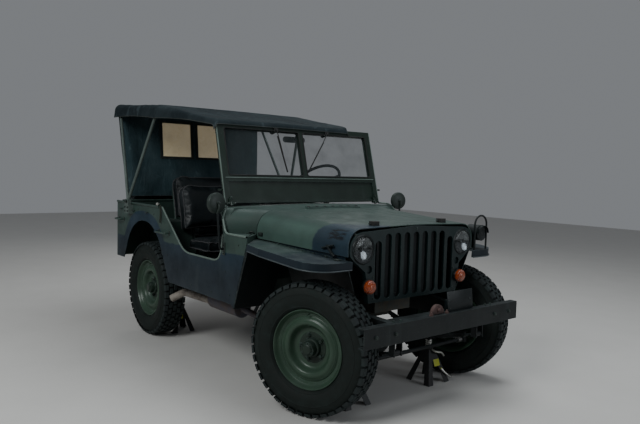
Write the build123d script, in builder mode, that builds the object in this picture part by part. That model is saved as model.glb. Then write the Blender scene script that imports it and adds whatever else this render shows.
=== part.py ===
"""Open army 4x4 car with a canvas top, on its wheels and four axle stands.

Millimetres. X points forward, Y to the car's left, Z up. The floor is Z = 0,
and the origin is in the middle of the car's length and width.
"""
from build123d import *
import math
import os

os.makedirs("parts", exist_ok=True)

# Axles and wheels
WHEELBASE = 2032
FRONT_AXLE_X = 1150
REAR_AXLE_X = FRONT_AXLE_X - WHEELBASE
AXLE_Z = 370
WHEEL_Y = 618
TYRE_RADIUS = 370
TYRE_HALF_WIDTH = 90
RIM_LIP_RADIUS = 221
RIM_SEAT_RADIUS = 203
RIM_LIP_Y = 64
KINGPIN_Y = 556
STEER_REST = 20
STEERING_ARM = 115

# Ends of the car
BUMPER_FRONT_X = 1610
SPARE_REAR_X = -1610
SPARE_Y = -250
SPARE_Z = 905
REAR_PANEL_X = -1385

# Tub
BODY_Y = 765
SHEET = 5
FLOOR_Z = 520
REAR_FLOOR_Z = 602
FLOOR_STEP_X = -500
SILL_Z = 508
TUB_TOP_Z = 1042
WHEELHOUSE_Y = 498
WHEELHOUSE_TOP_Z = 924
REAR_CORNER_RADIUS = 60
TUB_REAR_LOW_Z = 585

# Cowl, hood and grille
COWL_REAR_X = 395
HOOD_REAR_X = 568
HOOD_FRONT_X = 1338
HOOD_REAR_TOP_Z = 1094
HOOD_FRONT_TOP_Z = 1044
HOOD_REAR_HALF_WIDTH = 600
HOOD_FRONT_HALF_WIDTH = 524
HOOD_REAR_SIDE_Z = 912
HOOD_FRONT_SIDE_Z = 882
CROWN = 14
SHELF_Z = 930
GRILLE_X = 1345
GRILLE_LOW_Z = 616
SLOT_PITCH = 76
SLOT_WIDTH = 50
SLOT_LOW_Z = 632
SLOT_TOP_Z = 1000
LAMP_Y = 420
LAMP_Z = 918
LAMP_RADIUS = 84

# Fenders
FENDER_Y = 780
FENDER_REAR_X = 714
FENDER_FRONT_X = 1362
FENDER_REAR_Z = 898
FENDER_FRONT_Z = 858
FENDER_LIP = 43

# Windshield, which leans back by this much for each millimetre up
LEAN = 0.267
GLASS_LOW_Z = 1297
GLASS_TOP_Z = 1602
SCREEN_LOW_Z = 1112
SCREEN_TOP_Z = 1645
SCREEN_HALF_WIDTH = 680
GLASS_HALF_WIDTH = 628

# Frame
RAIL_OUTER_Y = 371
RAIL_WIDTH = 48

# Top
BOW_PIVOT = (-1040, 790, 1056)
REAR_BOW_TOP = (-1462, 698, 1840)
FRONT_BOW_TOP = (-728, 680, 1792)
BOW_RADIUS = 12
CANVAS = 8

# Steering wheel's centre and the direction of its column, up and back towards the driver
WHEEL_CENTRE = Vector(-40, 335, 1233)
COLUMN_AXIS = Vector(-1, 0, 1).normalized()

SIDES = (("left", 1), ("right", -1))


def screen_x(z):
    """The windshield plane's X at a height."""
    return 255 + (GLASS_LOW_Z - z) * LEAN


def rod(start, end, radius):
    """Adds a round bar between two points."""
    run = Vector(*end) - Vector(*start)
    with Locations(Plane(origin=start, z_dir=run).location):
        Cylinder(radius, run.length, align=(Align.CENTER, Align.CENTER, Align.MIN))


def box(low, high):
    """Adds a block between its lowest and highest corners."""
    size = [b - a for a, b in zip(low, high)]
    middle = [(a + b) / 2 for a, b in zip(low, high)]
    with Locations(tuple(middle)):
        Box(*size)


def bent_rod(points, radius, bend):
    """Adds a round bar along straight runs with rounded corners."""
    with BuildLine() as route:
        FilletPolyline(*points, radius=bend)
    with BuildSketch(Plane(origin=route.line @ 0, z_dir=route.line % 0)) as section:
        Circle(radius)
    sweep(section.sketch, path=route.line)


def plate(plane, points, thickness, rounded=(), both=False):
    """Adds a flat plate from its outline, with some corners rounded as (index, radius)."""
    with BuildSketch(plane) as outline:
        with BuildLine():
            Polyline(*points, close=True)
        make_face()
        for index, radius in rounded:
            corner = Vector(*points[index])
            near = outline.vertices().sort_by_distance(corner)
            fillet(near[0], radius)
    extrude(outline.sketch, amount=thickness, both=both)


def side_plane(y):
    """An upright plane along the car at the given Y, with local X forward and local Y up."""
    return Plane(origin=(0, y, 0), x_dir=(1, 0, 0), z_dir=(0, -1, 0))


def front_plane(x):
    """An upright plane across the car at the given X, with local X to the left and local Y up."""
    return Plane(origin=(x, 0, 0), x_dir=(0, 1, 0), z_dir=(1, 0, 0))


def arch_face(x, half_width, low, top, radius, inset=0):
    """An upright section across the hood or cowl: straight sides, round shoulders, crowned top."""
    side = half_width - inset
    shoulder = top - CROWN - inset
    with BuildSketch(front_plane(x)) as section:
        with BuildLine():
            Polyline((-side, low), (-side, shoulder), (0, top - inset), (side, shoulder), (side, low),
                     close=True)
        make_face()
        fillet(section.vertices().sort_by(Axis.Y)[-1], 6000)
        fillet(section.vertices().sort_by(Axis.Y)[2:4], radius - inset)
    return section.sketch


def finish(part, name):
    """Labels a finished piece and writes it."""
    part.label = name
    export_step(part, f"parts/{name}.step")


# Frame rails: X, underside and top, with the rises over both axles and the horns at the bumper
RAIL_STATIONS = (
    (-1380, 462, 540), (-1190, 470, 556), (-1080, 500, 596), (-700, 500, 596), (-560, 405, 508),
    (760, 405, 508), (900, 452, 552), (1180, 452, 560), (1330, 438, 545), (1540, 469, 541),
    (BUMPER_FRONT_X - 6, 469, 540),
)
with BuildPart() as chassis_frame:
    rail = [(x, low) for x, low, top in RAIL_STATIONS]
    rail += [(x, top) for x, low, top in reversed(RAIL_STATIONS)]
    for side_name, side in SIDES:
        plate(side_plane(side * RAIL_OUTER_Y), rail, side * RAIL_WIDTH)
    rail_inner = RAIL_OUTER_Y - RAIL_WIDTH + 5
    for x, low, high in ((-620, 440, 500), (60, 472, 504), (1440, 470, 530)):
        box((x - 35, -rail_inner, low), (x + 35, rail_inner, high))
    # Gusset plates from the horns out along the bumper
    for side_name, side in SIDES:
        gusset = ((1500, side * 365), (BUMPER_FRONT_X - 6, side * 365), (BUMPER_FRONT_X - 6, side * 600),
                  (1560, side * 600))
        plate(Plane.XY.offset(534), gusset, 6)
    box((-1380, -590, 470), (-1348, 590, 530))
finish(chassis_frame.part, "chassis_frame")

# Front bumper, rear bumperettes and tow pintle
with BuildPart() as bumpers:
    with BuildSketch(side_plane(0)) as channel:
        with BuildLine():
            Polyline((BUMPER_FRONT_X - 46, 460), (BUMPER_FRONT_X, 460), (BUMPER_FRONT_X, 566),
                     (BUMPER_FRONT_X - 46, 566), (BUMPER_FRONT_X - 46, 560), (BUMPER_FRONT_X - 6, 560),
                     (BUMPER_FRONT_X - 6, 466), (BUMPER_FRONT_X - 46, 466), close=True)
        make_face()
    extrude(channel.sketch, amount=642, both=True)
    for side_name, side in SIDES:
        bent_rod(((-1380, side * 250, 500), (-1455, side * 250, 500), (-1455, side * 560, 500),
                  (-1380, side * 560, 500)), 20, 45)
    box((-1440, -45, 462), (-1380, 45, 538))
    rod((-1438, 0, 500), (-1484, 0, 500), 26)
    with BuildSketch(side_plane(0)) as hook:
        with Locations((-1506, 500)):
            Circle(34)
            Circle(18, mode=Mode.SUBTRACT)
    extrude(hook.sketch, amount=16, both=True)
finish(bumpers.part, "bumpers")

# Body sides: X and Z round the wheel arch, along the sill and up the door cut
ARCH = ((-335, SILL_Z), (-575, 918), (-1010, 918), (-1182, TUB_REAR_LOW_Z))
BODY_SIDE_REAR_X = REAR_PANEL_X + REAR_CORNER_RADIUS
for side_name, side in SIDES:
    with BuildPart() as body_side:
        points = (
            (FENDER_REAR_X - 2, FENDER_REAR_Z + 4), (571, 486), (545, SILL_Z), *ARCH,
            (BODY_SIDE_REAR_X, TUB_REAR_LOW_Z), (BODY_SIDE_REAR_X, TUB_TOP_Z), (-452, TUB_TOP_Z), (-96, 755),
            (400, 755), (434, SHELF_Z), (FENDER_REAR_X - 2, SHELF_Z),
        )
        corners = ((4, 350), (5, 350), (9, 95), (10, 150), (11, 70))
        plate(side_plane(side * BODY_Y), points, side * SHEET, rounded=corners)
        lip_y = side * (BODY_Y + 2)
        rod((BODY_SIDE_REAR_X, lip_y, TUB_TOP_Z), (-500, lip_y, TUB_TOP_Z), 9)
        root_y = side * (BODY_Y - 2)
        grip_y = side * (BODY_Y + 40)
        for x0, x1, z in ((-505, -330, 862), (-1290, -1190, 900)):
            bent_rod(((x0, root_y, z), (x0, grip_y, z), (x1, grip_y, z), (x1, root_y, z)), 7, 16)
    finish(body_side.part, "body_side_" + side_name)

# Tub floor with toe board, wheelhouses and the fuel tank under the driver's seat
INNER_Y = BODY_Y - SHEET - 1
REAR_INNER_X = REAR_PANEL_X + 6
# X and Z round the floor's profile between the wheelhouses, then outside them with slanted front and top
MIDDLE_PROFILE = (
    (FLOOR_STEP_X, FLOOR_Z), (428, FLOOR_Z), (566, 640), (566, 900), (561, 900), (561, 643),
    (426, FLOOR_Z + SHEET), (FLOOR_STEP_X + SHEET, FLOOR_Z + SHEET), (FLOOR_STEP_X + SHEET, REAR_FLOOR_Z),
    (REAR_INNER_X - 6, REAR_FLOOR_Z), (REAR_INNER_X - 6, REAR_FLOOR_Z - SHEET),
    (FLOOR_STEP_X, REAR_FLOOR_Z - SHEET),
)
SIDE_PROFILE = (
    (REAR_INNER_X - 6, WHEELHOUSE_TOP_Z), (-549, WHEELHOUSE_TOP_Z), (-342, FLOOR_Z + SHEET),
    (426, FLOOR_Z + SHEET), (561, 643), (561, 900), (566, 900), (566, 640), (428, FLOOR_Z), (-346, FLOOR_Z),
    (-552, WHEELHOUSE_TOP_Z - SHEET), (-1287, WHEELHOUSE_TOP_Z - SHEET), (-1287, 590), (-1292, 590),
    (-1292, WHEELHOUSE_TOP_Z - SHEET),
    (REAR_INNER_X - 6, WHEELHOUSE_TOP_Z - SHEET),
)
WHEELHOUSE_WALL = (
    (-344, 523), (-550, WHEELHOUSE_TOP_Z - 3), (REAR_INNER_X - 6, WHEELHOUSE_TOP_Z - 3),
    (REAR_INNER_X - 6, 599), (-497, 599), (-497, 523),
)
with BuildPart() as body_floor:
    plate(side_plane(0), MIDDLE_PROFILE, WHEELHOUSE_Y + 2, both=True)
    for side_name, side in SIDES:
        plate(side_plane(side * (WHEELHOUSE_Y + 1)), SIDE_PROFILE, -side * (BODY_Y - WHEELHOUSE_Y))
        plate(side_plane(side * WHEELHOUSE_Y), WHEELHOUSE_WALL, -side * SHEET)
    box((-300, 190, FLOOR_Z + 2), (-125, 445, FLOOR_Z + 122))
    column_hole = Plane(origin=tuple(WHEEL_CENTRE - COLUMN_AXIS * 800), z_dir=tuple(COLUMN_AXIS))
    with Locations(column_hole.location):
        Cylinder(30, 260, mode=Mode.SUBTRACT)
    with BuildSketch(Plane.XY.offset(FLOOR_Z - 10)) as inside:
        with BuildLine():
            Polyline((REAR_INNER_X, -INNER_Y), (700, -INNER_Y), (700, INNER_Y), (REAR_INNER_X, INNER_Y),
                     close=True)
        make_face()
        fillet(inside.vertices().group_by(Axis.X)[0], REAR_CORNER_RADIUS)
    extrude(inside.sketch, amount=600, mode=Mode.INTERSECT)
finish(body_floor.part, "body_floor")

# Rear panel with round corners, its rolled top edge and the spare wheel's carrier
with BuildPart() as rear_panel:
    with BuildSketch(Plane.XY.offset(TUB_REAR_LOW_Z)) as ring:
        with BuildLine():
            Polyline((BODY_SIDE_REAR_X, -BODY_Y), (REAR_PANEL_X, -BODY_Y), (REAR_PANEL_X, BODY_Y),
                     (BODY_SIDE_REAR_X, BODY_Y), (BODY_SIDE_REAR_X, BODY_Y - SHEET),
                     (REAR_PANEL_X + SHEET, BODY_Y - SHEET), (REAR_PANEL_X + SHEET, -BODY_Y + SHEET),
                     (BODY_SIDE_REAR_X, -BODY_Y + SHEET), close=True)
        make_face()
        fillet(ring.vertices().group_by(Axis.X)[0], REAR_CORNER_RADIUS - 2)
        fillet(ring.vertices().group_by(Axis.X)[1], REAR_CORNER_RADIUS - SHEET - 2)
    extrude(ring.sketch, amount=TUB_TOP_Z - TUB_REAR_LOW_Z)
    rod((REAR_PANEL_X + 4, -BODY_Y + 62, TUB_TOP_Z), (REAR_PANEL_X + 4, BODY_Y - 62, TUB_TOP_Z), 9)
    for offset_y in (-90, 90):
        box((REAR_PANEL_X - 50, SPARE_Y + offset_y - 16, SPARE_Z - 110),
            (REAR_PANEL_X + 1, SPARE_Y + offset_y + 16, SPARE_Z + 110))
    box((REAR_PANEL_X - 62, SPARE_Y - 106, SPARE_Z - 30),
        (REAR_PANEL_X - 49, SPARE_Y + 106, SPARE_Z + 30))
finish(rear_panel.part, "rear_panel")

# Cowl: shell ahead of the instrument panel, shelves over the side panels and a firewall
# Sections of its shell: X, half width, lower edge, top and shoulder radius
COWL_SECTIONS = (
    (288, 706, 1064, 1106, 14),
    (COWL_REAR_X + 15, 762, 1036, 1103, 40),
    (COWL_REAR_X + 40, BODY_Y, SHELF_Z, 1100, 125),
    (HOOD_REAR_X - 6, HOOD_REAR_HALF_WIDTH, SHELF_Z, HOOD_REAR_TOP_Z, 125),
)
with BuildPart() as cowl:
    for first, second in zip(COWL_SECTIONS, COWL_SECTIONS[1:]):
        loft((arch_face(*first), arch_face(*second)))
    for first, second in zip(COWL_SECTIONS, COWL_SECTIONS[1:]):
        loft((arch_face(*first, inset=SHEET), arch_face(*second, inset=SHEET)), mode=Mode.SUBTRACT)
    # The shelf's front end runs slantwise from the outer corner in to the hood, with a wall under it
    shelf_points = ((COWL_REAR_X + 40, BODY_Y), (FENDER_REAR_X - 2, BODY_Y), (HOOD_REAR_X, 606),
                    (HOOD_REAR_X - 6, 606), (HOOD_REAR_X - 6, 594), (COWL_REAR_X + 42, 752))
    wall_points = ((706, BODY_Y - 6), (HOOD_REAR_X, 606), (HOOD_REAR_X - 1, 611), (700, BODY_Y - 6))
    for side_name, side in SIDES:
        plate(Plane.XY.offset(SHELF_Z), [(x, side * y) for x, y in shelf_points], SHEET)
        plate(Plane.XY.offset(892), [(x, side * y) for x, y in wall_points], SHELF_Z - 891)
        box((HOOD_REAR_X - 12, min(side * 596, side * 640), 902),
            (HOOD_REAR_X - 6, max(side * 596, side * 640), SHELF_Z + 3))
    firewall = ((-597, 901), (-597, 1000), (-480, 1080), (480, 1080), (597, 1000), (597, 901))
    plate(front_plane(HOOD_REAR_X - 11), firewall, SHEET)
    dash = ((-755, 950), (-755, 1000), (-690, 1092), (690, 1092), (755, 1000), (755, 950))
    plate(front_plane(COWL_REAR_X + 44), dash, SHEET)
    for side_name, side in SIDES:
        bead_y = side * (BODY_Y + 1)
        bent_rod(((FENDER_REAR_X - 2, bead_y, SHELF_Z + 8), (470, bead_y, SHELF_Z + 8), (430, bead_y, 1040),
                  (400, side * 716, 1098), (300, side * 700, 1102)), 6, 26)
finish(cowl.part, "cowl")

# Grille: pressed panel with nine slots, lamp openings and a flange turned back all round
GRILLE_HALF = ((372, GRILLE_LOW_Z), (398, 790), (514, 880), (514, 1022 - CROWN))
# Slot number from the middle, and how far its top is below the middle slot's
SLOTS = ((-4, 40), (-3, 2), (-2, 0), (-1, 0), (0, 0), (1, 0), (2, 0), (3, 2), (4, 40))
with BuildPart() as grille:
    outline = [*GRILLE_HALF, (0, 1035)]
    outline += [(-y, z) for y, z in reversed(GRILLE_HALF)]
    with BuildSketch(front_plane(GRILLE_X)) as face:
        with BuildLine():
            Polyline(*outline, close=True)
        make_face()
        fillet(face.vertices().group_by(Axis.Y)[-2], 92)
        fillet(face.vertices().filter_by(lambda v: 870 < v.Y < 890), 60)
    with BuildSketch(front_plane(GRILLE_X)) as hollow:
        add(face.sketch_local)
        offset(amount=-3)
    extrude(face.sketch, amount=-34)
    extrude(hollow.sketch, amount=-34, mode=Mode.SUBTRACT)
    extrude(face.sketch, amount=-3)
    for number, drop in SLOTS:
        height = SLOT_TOP_Z - drop - SLOT_LOW_Z
        centre = (number * SLOT_PITCH, SLOT_LOW_Z + height / 2)
        with BuildSketch(front_plane(GRILLE_X)) as rim:
            with Locations(centre):
                SlotOverall(height + 6, SLOT_WIDTH + 6, rotation=90)
        extrude(rim.sketch, amount=-22)
    for number, drop in SLOTS:
        height = SLOT_TOP_Z - drop - SLOT_LOW_Z
        centre = (number * SLOT_PITCH, SLOT_LOW_Z + height / 2)
        with BuildSketch(front_plane(GRILLE_X + 1)) as slot:
            with Locations(centre):
                SlotOverall(height, SLOT_WIDTH, rotation=90)
        extrude(slot.sketch, amount=-26, mode=Mode.SUBTRACT)
    with BuildSketch(front_plane(GRILLE_X + 1)) as lamp_holes:
        with Locations((LAMP_Y, LAMP_Z), (-LAMP_Y, LAMP_Z)):
            Circle(LAMP_RADIUS)
    extrude(lamp_holes.sketch, amount=-6, mode=Mode.SUBTRACT)
    # Small blind recess below each headlamp
    for y in (372, -372):
        with Locations(Plane(origin=(GRILLE_X, y, 804), z_dir=(1, 0, 0)).location):
            Cylinder(25, 16, align=(Align.CENTER, Align.CENTER, Align.MAX))
            Cylinder(22, 13, align=(Align.CENTER, Align.CENTER, Align.MAX), mode=Mode.SUBTRACT)
finish(grille.part, "grille")

# Radiator behind the grille
with BuildPart() as radiator:
    box((1225, -262, 640), (1285, 262, 975))
    box((1215, -250, 975), (1295, 250, 1008))
    box((1222, -250, 600), (1288, 250, 641))
    with Locations((1255, 0, 1015)):
        Cylinder(30, 18)
finish(radiator.part, "radiator")

# Fenders: top that falls towards the front, turned-down lip, strip under the hood's edge and aprons
FENDER_RUN = FENDER_FRONT_X - FENDER_REAR_X
FENDER_FALL = FENDER_REAR_Z - FENDER_FRONT_Z
FENDER_PLANE = Plane(origin=(FENDER_REAR_X, 0, FENDER_REAR_Z), x_dir=(FENDER_RUN, 0, -FENDER_FALL),
                     z_dir=(FENDER_FALL, 0, FENDER_RUN))
APRON_PLANE = Plane(origin=(FENDER_REAR_X, 0, FENDER_REAR_Z), x_dir=(0, 1, 0),
                    z_dir=(FENDER_RUN, 0, -FENDER_FALL))


def fender_z(x):
    """Height of the fender's top at the given X."""
    return FENDER_REAR_Z - (x - FENDER_REAR_X) * FENDER_FALL / FENDER_RUN


# Outline of the top and of the hollow under it: distance ahead of the fender's rear edge, and Y
TOP_POINTS = ((-140, 609), (0, 764), (146, FENDER_Y), (FENDER_RUN, FENDER_Y), (FENDER_RUN, 508),
              (8, 571))
HOLLOW_POINTS = ((-154, 560), (-154, 618), (-17, 757), (148, FENDER_Y - 5), (FENDER_RUN - 5, FENDER_Y - 5),
                 (FENDER_RUN - 5, 500))
for side_name, side in SIDES:
    with BuildPart() as fender:
        placed = [(u, side * y) for u, y in TOP_POINTS]
        plate(FENDER_PLANE.offset(-4), placed, 4, rounded=((3, 150),))
        plate(FENDER_PLANE.offset(-FENDER_LIP), placed, FENDER_LIP - 2, rounded=((3, 150),))
        with BuildSketch(FENDER_PLANE.offset(-FENDER_LIP - 1)) as inside:
            with BuildLine():
                Polyline(*[(u, side * y) for u, y in HOLLOW_POINTS], close=True)
            make_face()
            fillet(inside.vertices().sort_by_distance((FENDER_RUN, side * FENDER_Y, 0))[0], 145)
        extrude(inside.sketch, amount=FENDER_LIP - 3, mode=Mode.SUBTRACT)
        strip = ((8, side * 573), (592, side * 515), (592, side * 511), (8, side * 569))
        plate(FENDER_PLANE.offset(-3), strip, 26)
        apron = ((side * 380, -336), (side * 520, -2), (side * 620, -2), (side * 620, -7), (side * 523, -7),
                 (side * 384, -336))
        plate(APRON_PLANE, apron, 610)
        rear_strip = ((FENDER_REAR_X, FENDER_REAR_Z - 3), (571, 486), (576, 484),
                      (FENDER_REAR_X + 8, FENDER_REAR_Z - 43), (FENDER_REAR_X + 8, FENDER_REAR_Z - 3))
        plate(side_plane(side * (FENDER_Y - 16)), rear_strip, side * 270)
    finish(fender.part, "fender_" + side_name)

# Hood with its hinge barrel and leaf on top of the rear edge
with BuildPart() as hood:
    outer = (arch_face(HOOD_REAR_X, HOOD_REAR_HALF_WIDTH, HOOD_REAR_SIDE_Z, HOOD_REAR_TOP_Z, 125),
             arch_face(HOOD_FRONT_X, HOOD_FRONT_HALF_WIDTH, HOOD_FRONT_SIDE_Z, HOOD_FRONT_TOP_Z, 98))
    inner = (arch_face(HOOD_REAR_X, HOOD_REAR_HALF_WIDTH, HOOD_REAR_SIDE_Z, HOOD_REAR_TOP_Z, 125, inset=4),
             arch_face(HOOD_FRONT_X, HOOD_FRONT_HALF_WIDTH, HOOD_FRONT_SIDE_Z, HOOD_FRONT_TOP_Z, 98, inset=4))
    loft(outer)
    loft(inner, mode=Mode.SUBTRACT)
    rod((HOOD_REAR_X + 6, -230, 1101), (HOOD_REAR_X + 6, 230, 1101), 5)
    box((HOOD_REAR_X + 2, -230, 1087), (HOOD_REAR_X + 34, 230, 1098))
finish(hood.part, "hood")

# Wooden rests for the folded windshield
with BuildPart() as hood_blocks:
    for side_name, side in SIDES:
        box((1262, side * 285 - 22, 1039), (1302, side * 285 + 22, 1064))
    add(hood.part, mode=Mode.SUBTRACT)
finish(hood_blocks.part, "hood_blocks")

# Headlamp buckets behind the grille, and the blackout lamp with its hoop on the left fender
with BuildPart() as lamp_housings:
    for side_name, side in SIDES:
        with Locations(Plane(origin=(1332, side * LAMP_Y, LAMP_Z), z_dir=(1, 0, 0)).location):
            Cylinder(LAMP_RADIUS - 3, 60, align=(Align.CENTER, Align.CENTER, Align.MAX))
        with Locations(Plane(origin=(1342, side * LAMP_Y, LAMP_Z), z_dir=(1, 0, 0)).location):
            Cylinder(LAMP_RADIUS - 12, 20, align=(Align.CENTER, Align.CENTER, Align.MAX), mode=Mode.SUBTRACT)
    with Locations(Plane(origin=(1290, 622, 965), z_dir=(1, 0, 0)).location):
        Cylinder(50, 90)
    rod((1280, 622, fender_z(1280) + 1), (1280, 622, 920), 14)
    hoop_z = fender_z(1345) + 1
    bent_rod(((1345, 545, hoop_z), (1345, 545, 1078), (1345, 664, 1078), (1345, 664, hoop_z)), 6, 58)
finish(lamp_housings.part, "lamp_housings")

with BuildPart() as lamp_lenses:
    for side_name, side in SIDES:
        with Locations(Plane(origin=(1323, side * LAMP_Y, LAMP_Z), z_dir=(1, 0, 0)).location):
            Cylinder(LAMP_RADIUS - 13, 14, align=(Align.CENTER, Align.CENTER, Align.MIN))
finish(lamp_lenses.part, "lamp_lenses")

# Round orange lamps low on the grille
with BuildPart() as signal_lamps:
    for side_name, side in SIDES:
        with Locations(Plane(origin=(GRILLE_X, side * 384, 712), z_dir=(1, 0, 0)).location):
            Cylinder(41, 16, align=(Align.CENTER, Align.CENTER, Align.MIN))
            Cylinder(36, 42, align=(Align.CENTER, Align.CENTER, Align.MIN))
finish(signal_lamps.part, "signal_lamps")

with BuildPart() as tail_lamps:
    for side_name, side in SIDES:
        with Locations(Plane(origin=(REAR_PANEL_X, side * 640, 770), z_dir=(-1, 0, 0)).location):
            Cylinder(40, 34, align=(Align.CENTER, Align.CENTER, Align.MIN))
finish(tail_lamps.part, "tail_lamps")

# Windshield frame: solid panel below, two panes above and a centre bar
SCREEN_PLANE = Plane(origin=(screen_x(GLASS_LOW_Z), 0, GLASS_LOW_Z), x_dir=(0, 1, 0), z_dir=(1, 0, LEAN))
SLOPE = math.sqrt(1 + LEAN * LEAN)


def screen_v(z):
    """Distance along the windshield from the glass's lower edge up to a height."""
    return (z - GLASS_LOW_Z) * SLOPE


with BuildPart() as windshield_frame:
    with BuildSketch(SCREEN_PLANE) as screen:
        with BuildLine():
            Polyline((-SCREEN_HALF_WIDTH, screen_v(SCREEN_LOW_Z)),
                     (SCREEN_HALF_WIDTH, screen_v(SCREEN_LOW_Z)),
                     (SCREEN_HALF_WIDTH, screen_v(SCREEN_TOP_Z)),
                     (-SCREEN_HALF_WIDTH, screen_v(SCREEN_TOP_Z)), close=True)
        make_face()
    extrude(screen.sketch, amount=14, both=True)
    pane_width = GLASS_HALF_WIDTH - 20
    pane_height = screen_v(GLASS_TOP_Z)
    with BuildSketch(SCREEN_PLANE) as panes:
        with Locations((20 + pane_width / 2, pane_height / 2), (-20 - pane_width / 2, pane_height / 2)):
            RectangleRounded(pane_width, pane_height, 12)
    extrude(panes.sketch, amount=20, both=True, mode=Mode.SUBTRACT)
    for face_side in (1, -1):
        with BuildSketch(SCREEN_PLANE.offset(face_side * 14)) as recess:
            with Locations((0, screen_v((SCREEN_LOW_Z + 1268) / 2))):
                Rectangle(2 * SCREEN_HALF_WIDTH - 76, (1268 - SCREEN_LOW_Z - 26) * SLOPE)
        extrude(recess.sketch, amount=-face_side * 11, mode=Mode.SUBTRACT)
finish(windshield_frame.part, "windshield_frame")

with BuildPart() as windshield_glass:
    with BuildSketch(SCREEN_PLANE) as glass:
        with Locations((20 + pane_width / 2, pane_height / 2), (-20 - pane_width / 2, pane_height / 2)):
            RectangleRounded(pane_width, pane_height, 12)
    extrude(glass.sketch, amount=3, both=True)
finish(windshield_glass.part, "windshield_glass")

# Round mirrors on stems from the side panels
with BuildPart() as mirrors:
    for side_name, side in SIDES:
        bent_rod(((452, side * (BODY_Y + 1), 840), (452, side * (BODY_Y + 30), 840),
                  (424, side * (BODY_Y + 38), 1110)), 7, 14)
        glass_plane = Plane(origin=(412, side * (BODY_Y + 38), 1122), z_dir=(1, -side * 0.15, 0.05))
        with Locations(glass_plane.location):
            Cylinder(63, 22)
finish(mirrors.part, "mirrors")

# Seats: X of the cushion's ends, middle Y, width, heights of cushion and back, and Y of the frame's tubes
SEATS = (("driver", -60, -474, 365, 480, 830, 1222, (165, 474)),
         ("passenger", -60, -474, -365, 480, 830, 1222, (-474, -165)),
         ("rear", -640, -1040, 0, 770, 880, 1280, (-352, 352)))
SEAT_PAD = 92
with BuildPart() as seat_frames:
    for name, front, back, mid, width, seat_z, top_z, tubes in SEATS:
        foot_z = FLOOR_Z + SHEET if front > FLOOR_STEP_X else REAR_FLOOR_Z
        tube_z = seat_z - SEAT_PAD - 14
        for y in tubes:
            bent_rod(((front - 40, y, foot_z), (front - 40, y, tube_z), (back - 22, y, tube_z),
                      (back - 22 - (top_z - 120 - tube_z) * 0.21, y, top_z - 120)), 12, 50)
            rod((back + 154, y, foot_z), (back + 154, y, tube_z), 12)
        for x in (front - 90, back + 154):
            rod((x, tubes[0], tube_z), (x, tubes[1], tube_z), 12)
finish(seat_frames.part, "seat_frames")

with BuildPart() as seat_cushions:
    for name, front, back, mid, width, seat_z, top_z, tubes in SEATS:
        low = seat_z - SEAT_PAD
        points = ((front, low), (front, seat_z), (back + 100, seat_z - 16), (back + 100, low))
        plate(side_plane(mid + width / 2), points, width, rounded=((0, 20), (1, 40)))
finish(seat_cushions.part, "seat_cushions")

with BuildPart() as seat_backs:
    for name, front, back, mid, width, seat_z, top_z, tubes in SEATS:
        back_plane = Plane(origin=(back + 63, mid, seat_z + 40), x_dir=(0, 1, 0), z_dir=(1, 0, 0.21))
        height = (top_z - seat_z - 40) * math.hypot(1, 0.21)
        with BuildSketch(back_plane) as face:
            with BuildLine():
                Polyline((-width / 2, 0), (width / 2, 0), (width / 2, height), (-width / 2, height),
                         close=True)
            make_face()
            fillet(face.vertices().group_by(Axis.Y)[-1], 78)
        extrude(face.sketch, amount=-100)
finish(seat_backs.part, "seat_backs")

# Steering wheel on its column, gear and brake levers, and pedals
with BuildPart() as driver_controls:
    column_top = WHEEL_CENTRE - COLUMN_AXIS * 34
    column_low = WHEEL_CENTRE - COLUMN_AXIS * 960
    rod(tuple(column_low), tuple(column_top), 19)
    box((column_low.X - 50, 300, 509), (column_low.X + 50, 371, 590))
    bent_rod(((260, 20, FLOOR_Z + SHEET), (260, 20, 640), (120, 20, 880)), 8, 80)
    bent_rod(((190, -50, FLOOR_Z + SHEET), (190, -50, 640), (130, -50, 800)), 7, 80)
    bent_rod(((190, -95, FLOOR_Z + SHEET), (190, -95, 620), (130, -95, 760)), 7, 80)
    rod((394, 150, 985), (330, 150, 975), 9)
    for y in (255, 420):
        bent_rod(((400, y, FLOOR_Z + SHEET), (400, y, 600), (360, y, 660)), 8, 20)
        box((346, y - 32, 652), (360, y + 32, 704))
finish(driver_controls.part, "driver_controls")

with BuildPart() as steering_wheel:
    rim_plane = Plane(origin=tuple(WHEEL_CENTRE), z_dir=tuple(COLUMN_AXIS), x_dir=(0, 1, 0))
    with Locations(rim_plane.location):
        Torus(208, 11)
        Cylinder(34, 40)
        for angle in (90, 210, 330):
            turn = math.radians(angle)
            with Locations(Pos(104 * math.cos(turn), 104 * math.sin(turn), 0) * Rot(0, 0, angle)):
                Box(200, 18, 8)
finish(steering_wheel.part, "steering_wheel")

# Canvas roof: X, half width, top height and depth of the side's hanging edge
ROOF_SECTIONS = ((156, 704, 1664, 38), (-728, 720, 1813, 106), (-1492, 738, 1862, 112))
ROOF_FLARE = 8


def roof_face(x, half_width, top, drop, inset):
    """A section of the roof across the car, and the same one inside the cloth's thickness."""
    side = half_width - inset
    low = top - drop - (30 if inset else 0)
    with BuildSketch(front_plane(x)) as section:
        with BuildLine():
            Polyline((-side, low), (ROOF_FLARE - side, top - inset), (side - ROOF_FLARE, top - inset),
                     (side, low), close=True)
        make_face()
        fillet(section.vertices().group_by(Axis.Y)[-1], (58 if drop > 60 else 26) - inset)
    return section.sketch


with BuildPart() as canvas_roof:
    loft([roof_face(*section, 0) for section in ROOF_SECTIONS], ruled=True)
    loft([roof_face(*section, CANVAS) for section in ROOF_SECTIONS], ruled=True, mode=Mode.SUBTRACT)
finish(canvas_roof.part, "canvas_roof")

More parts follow.
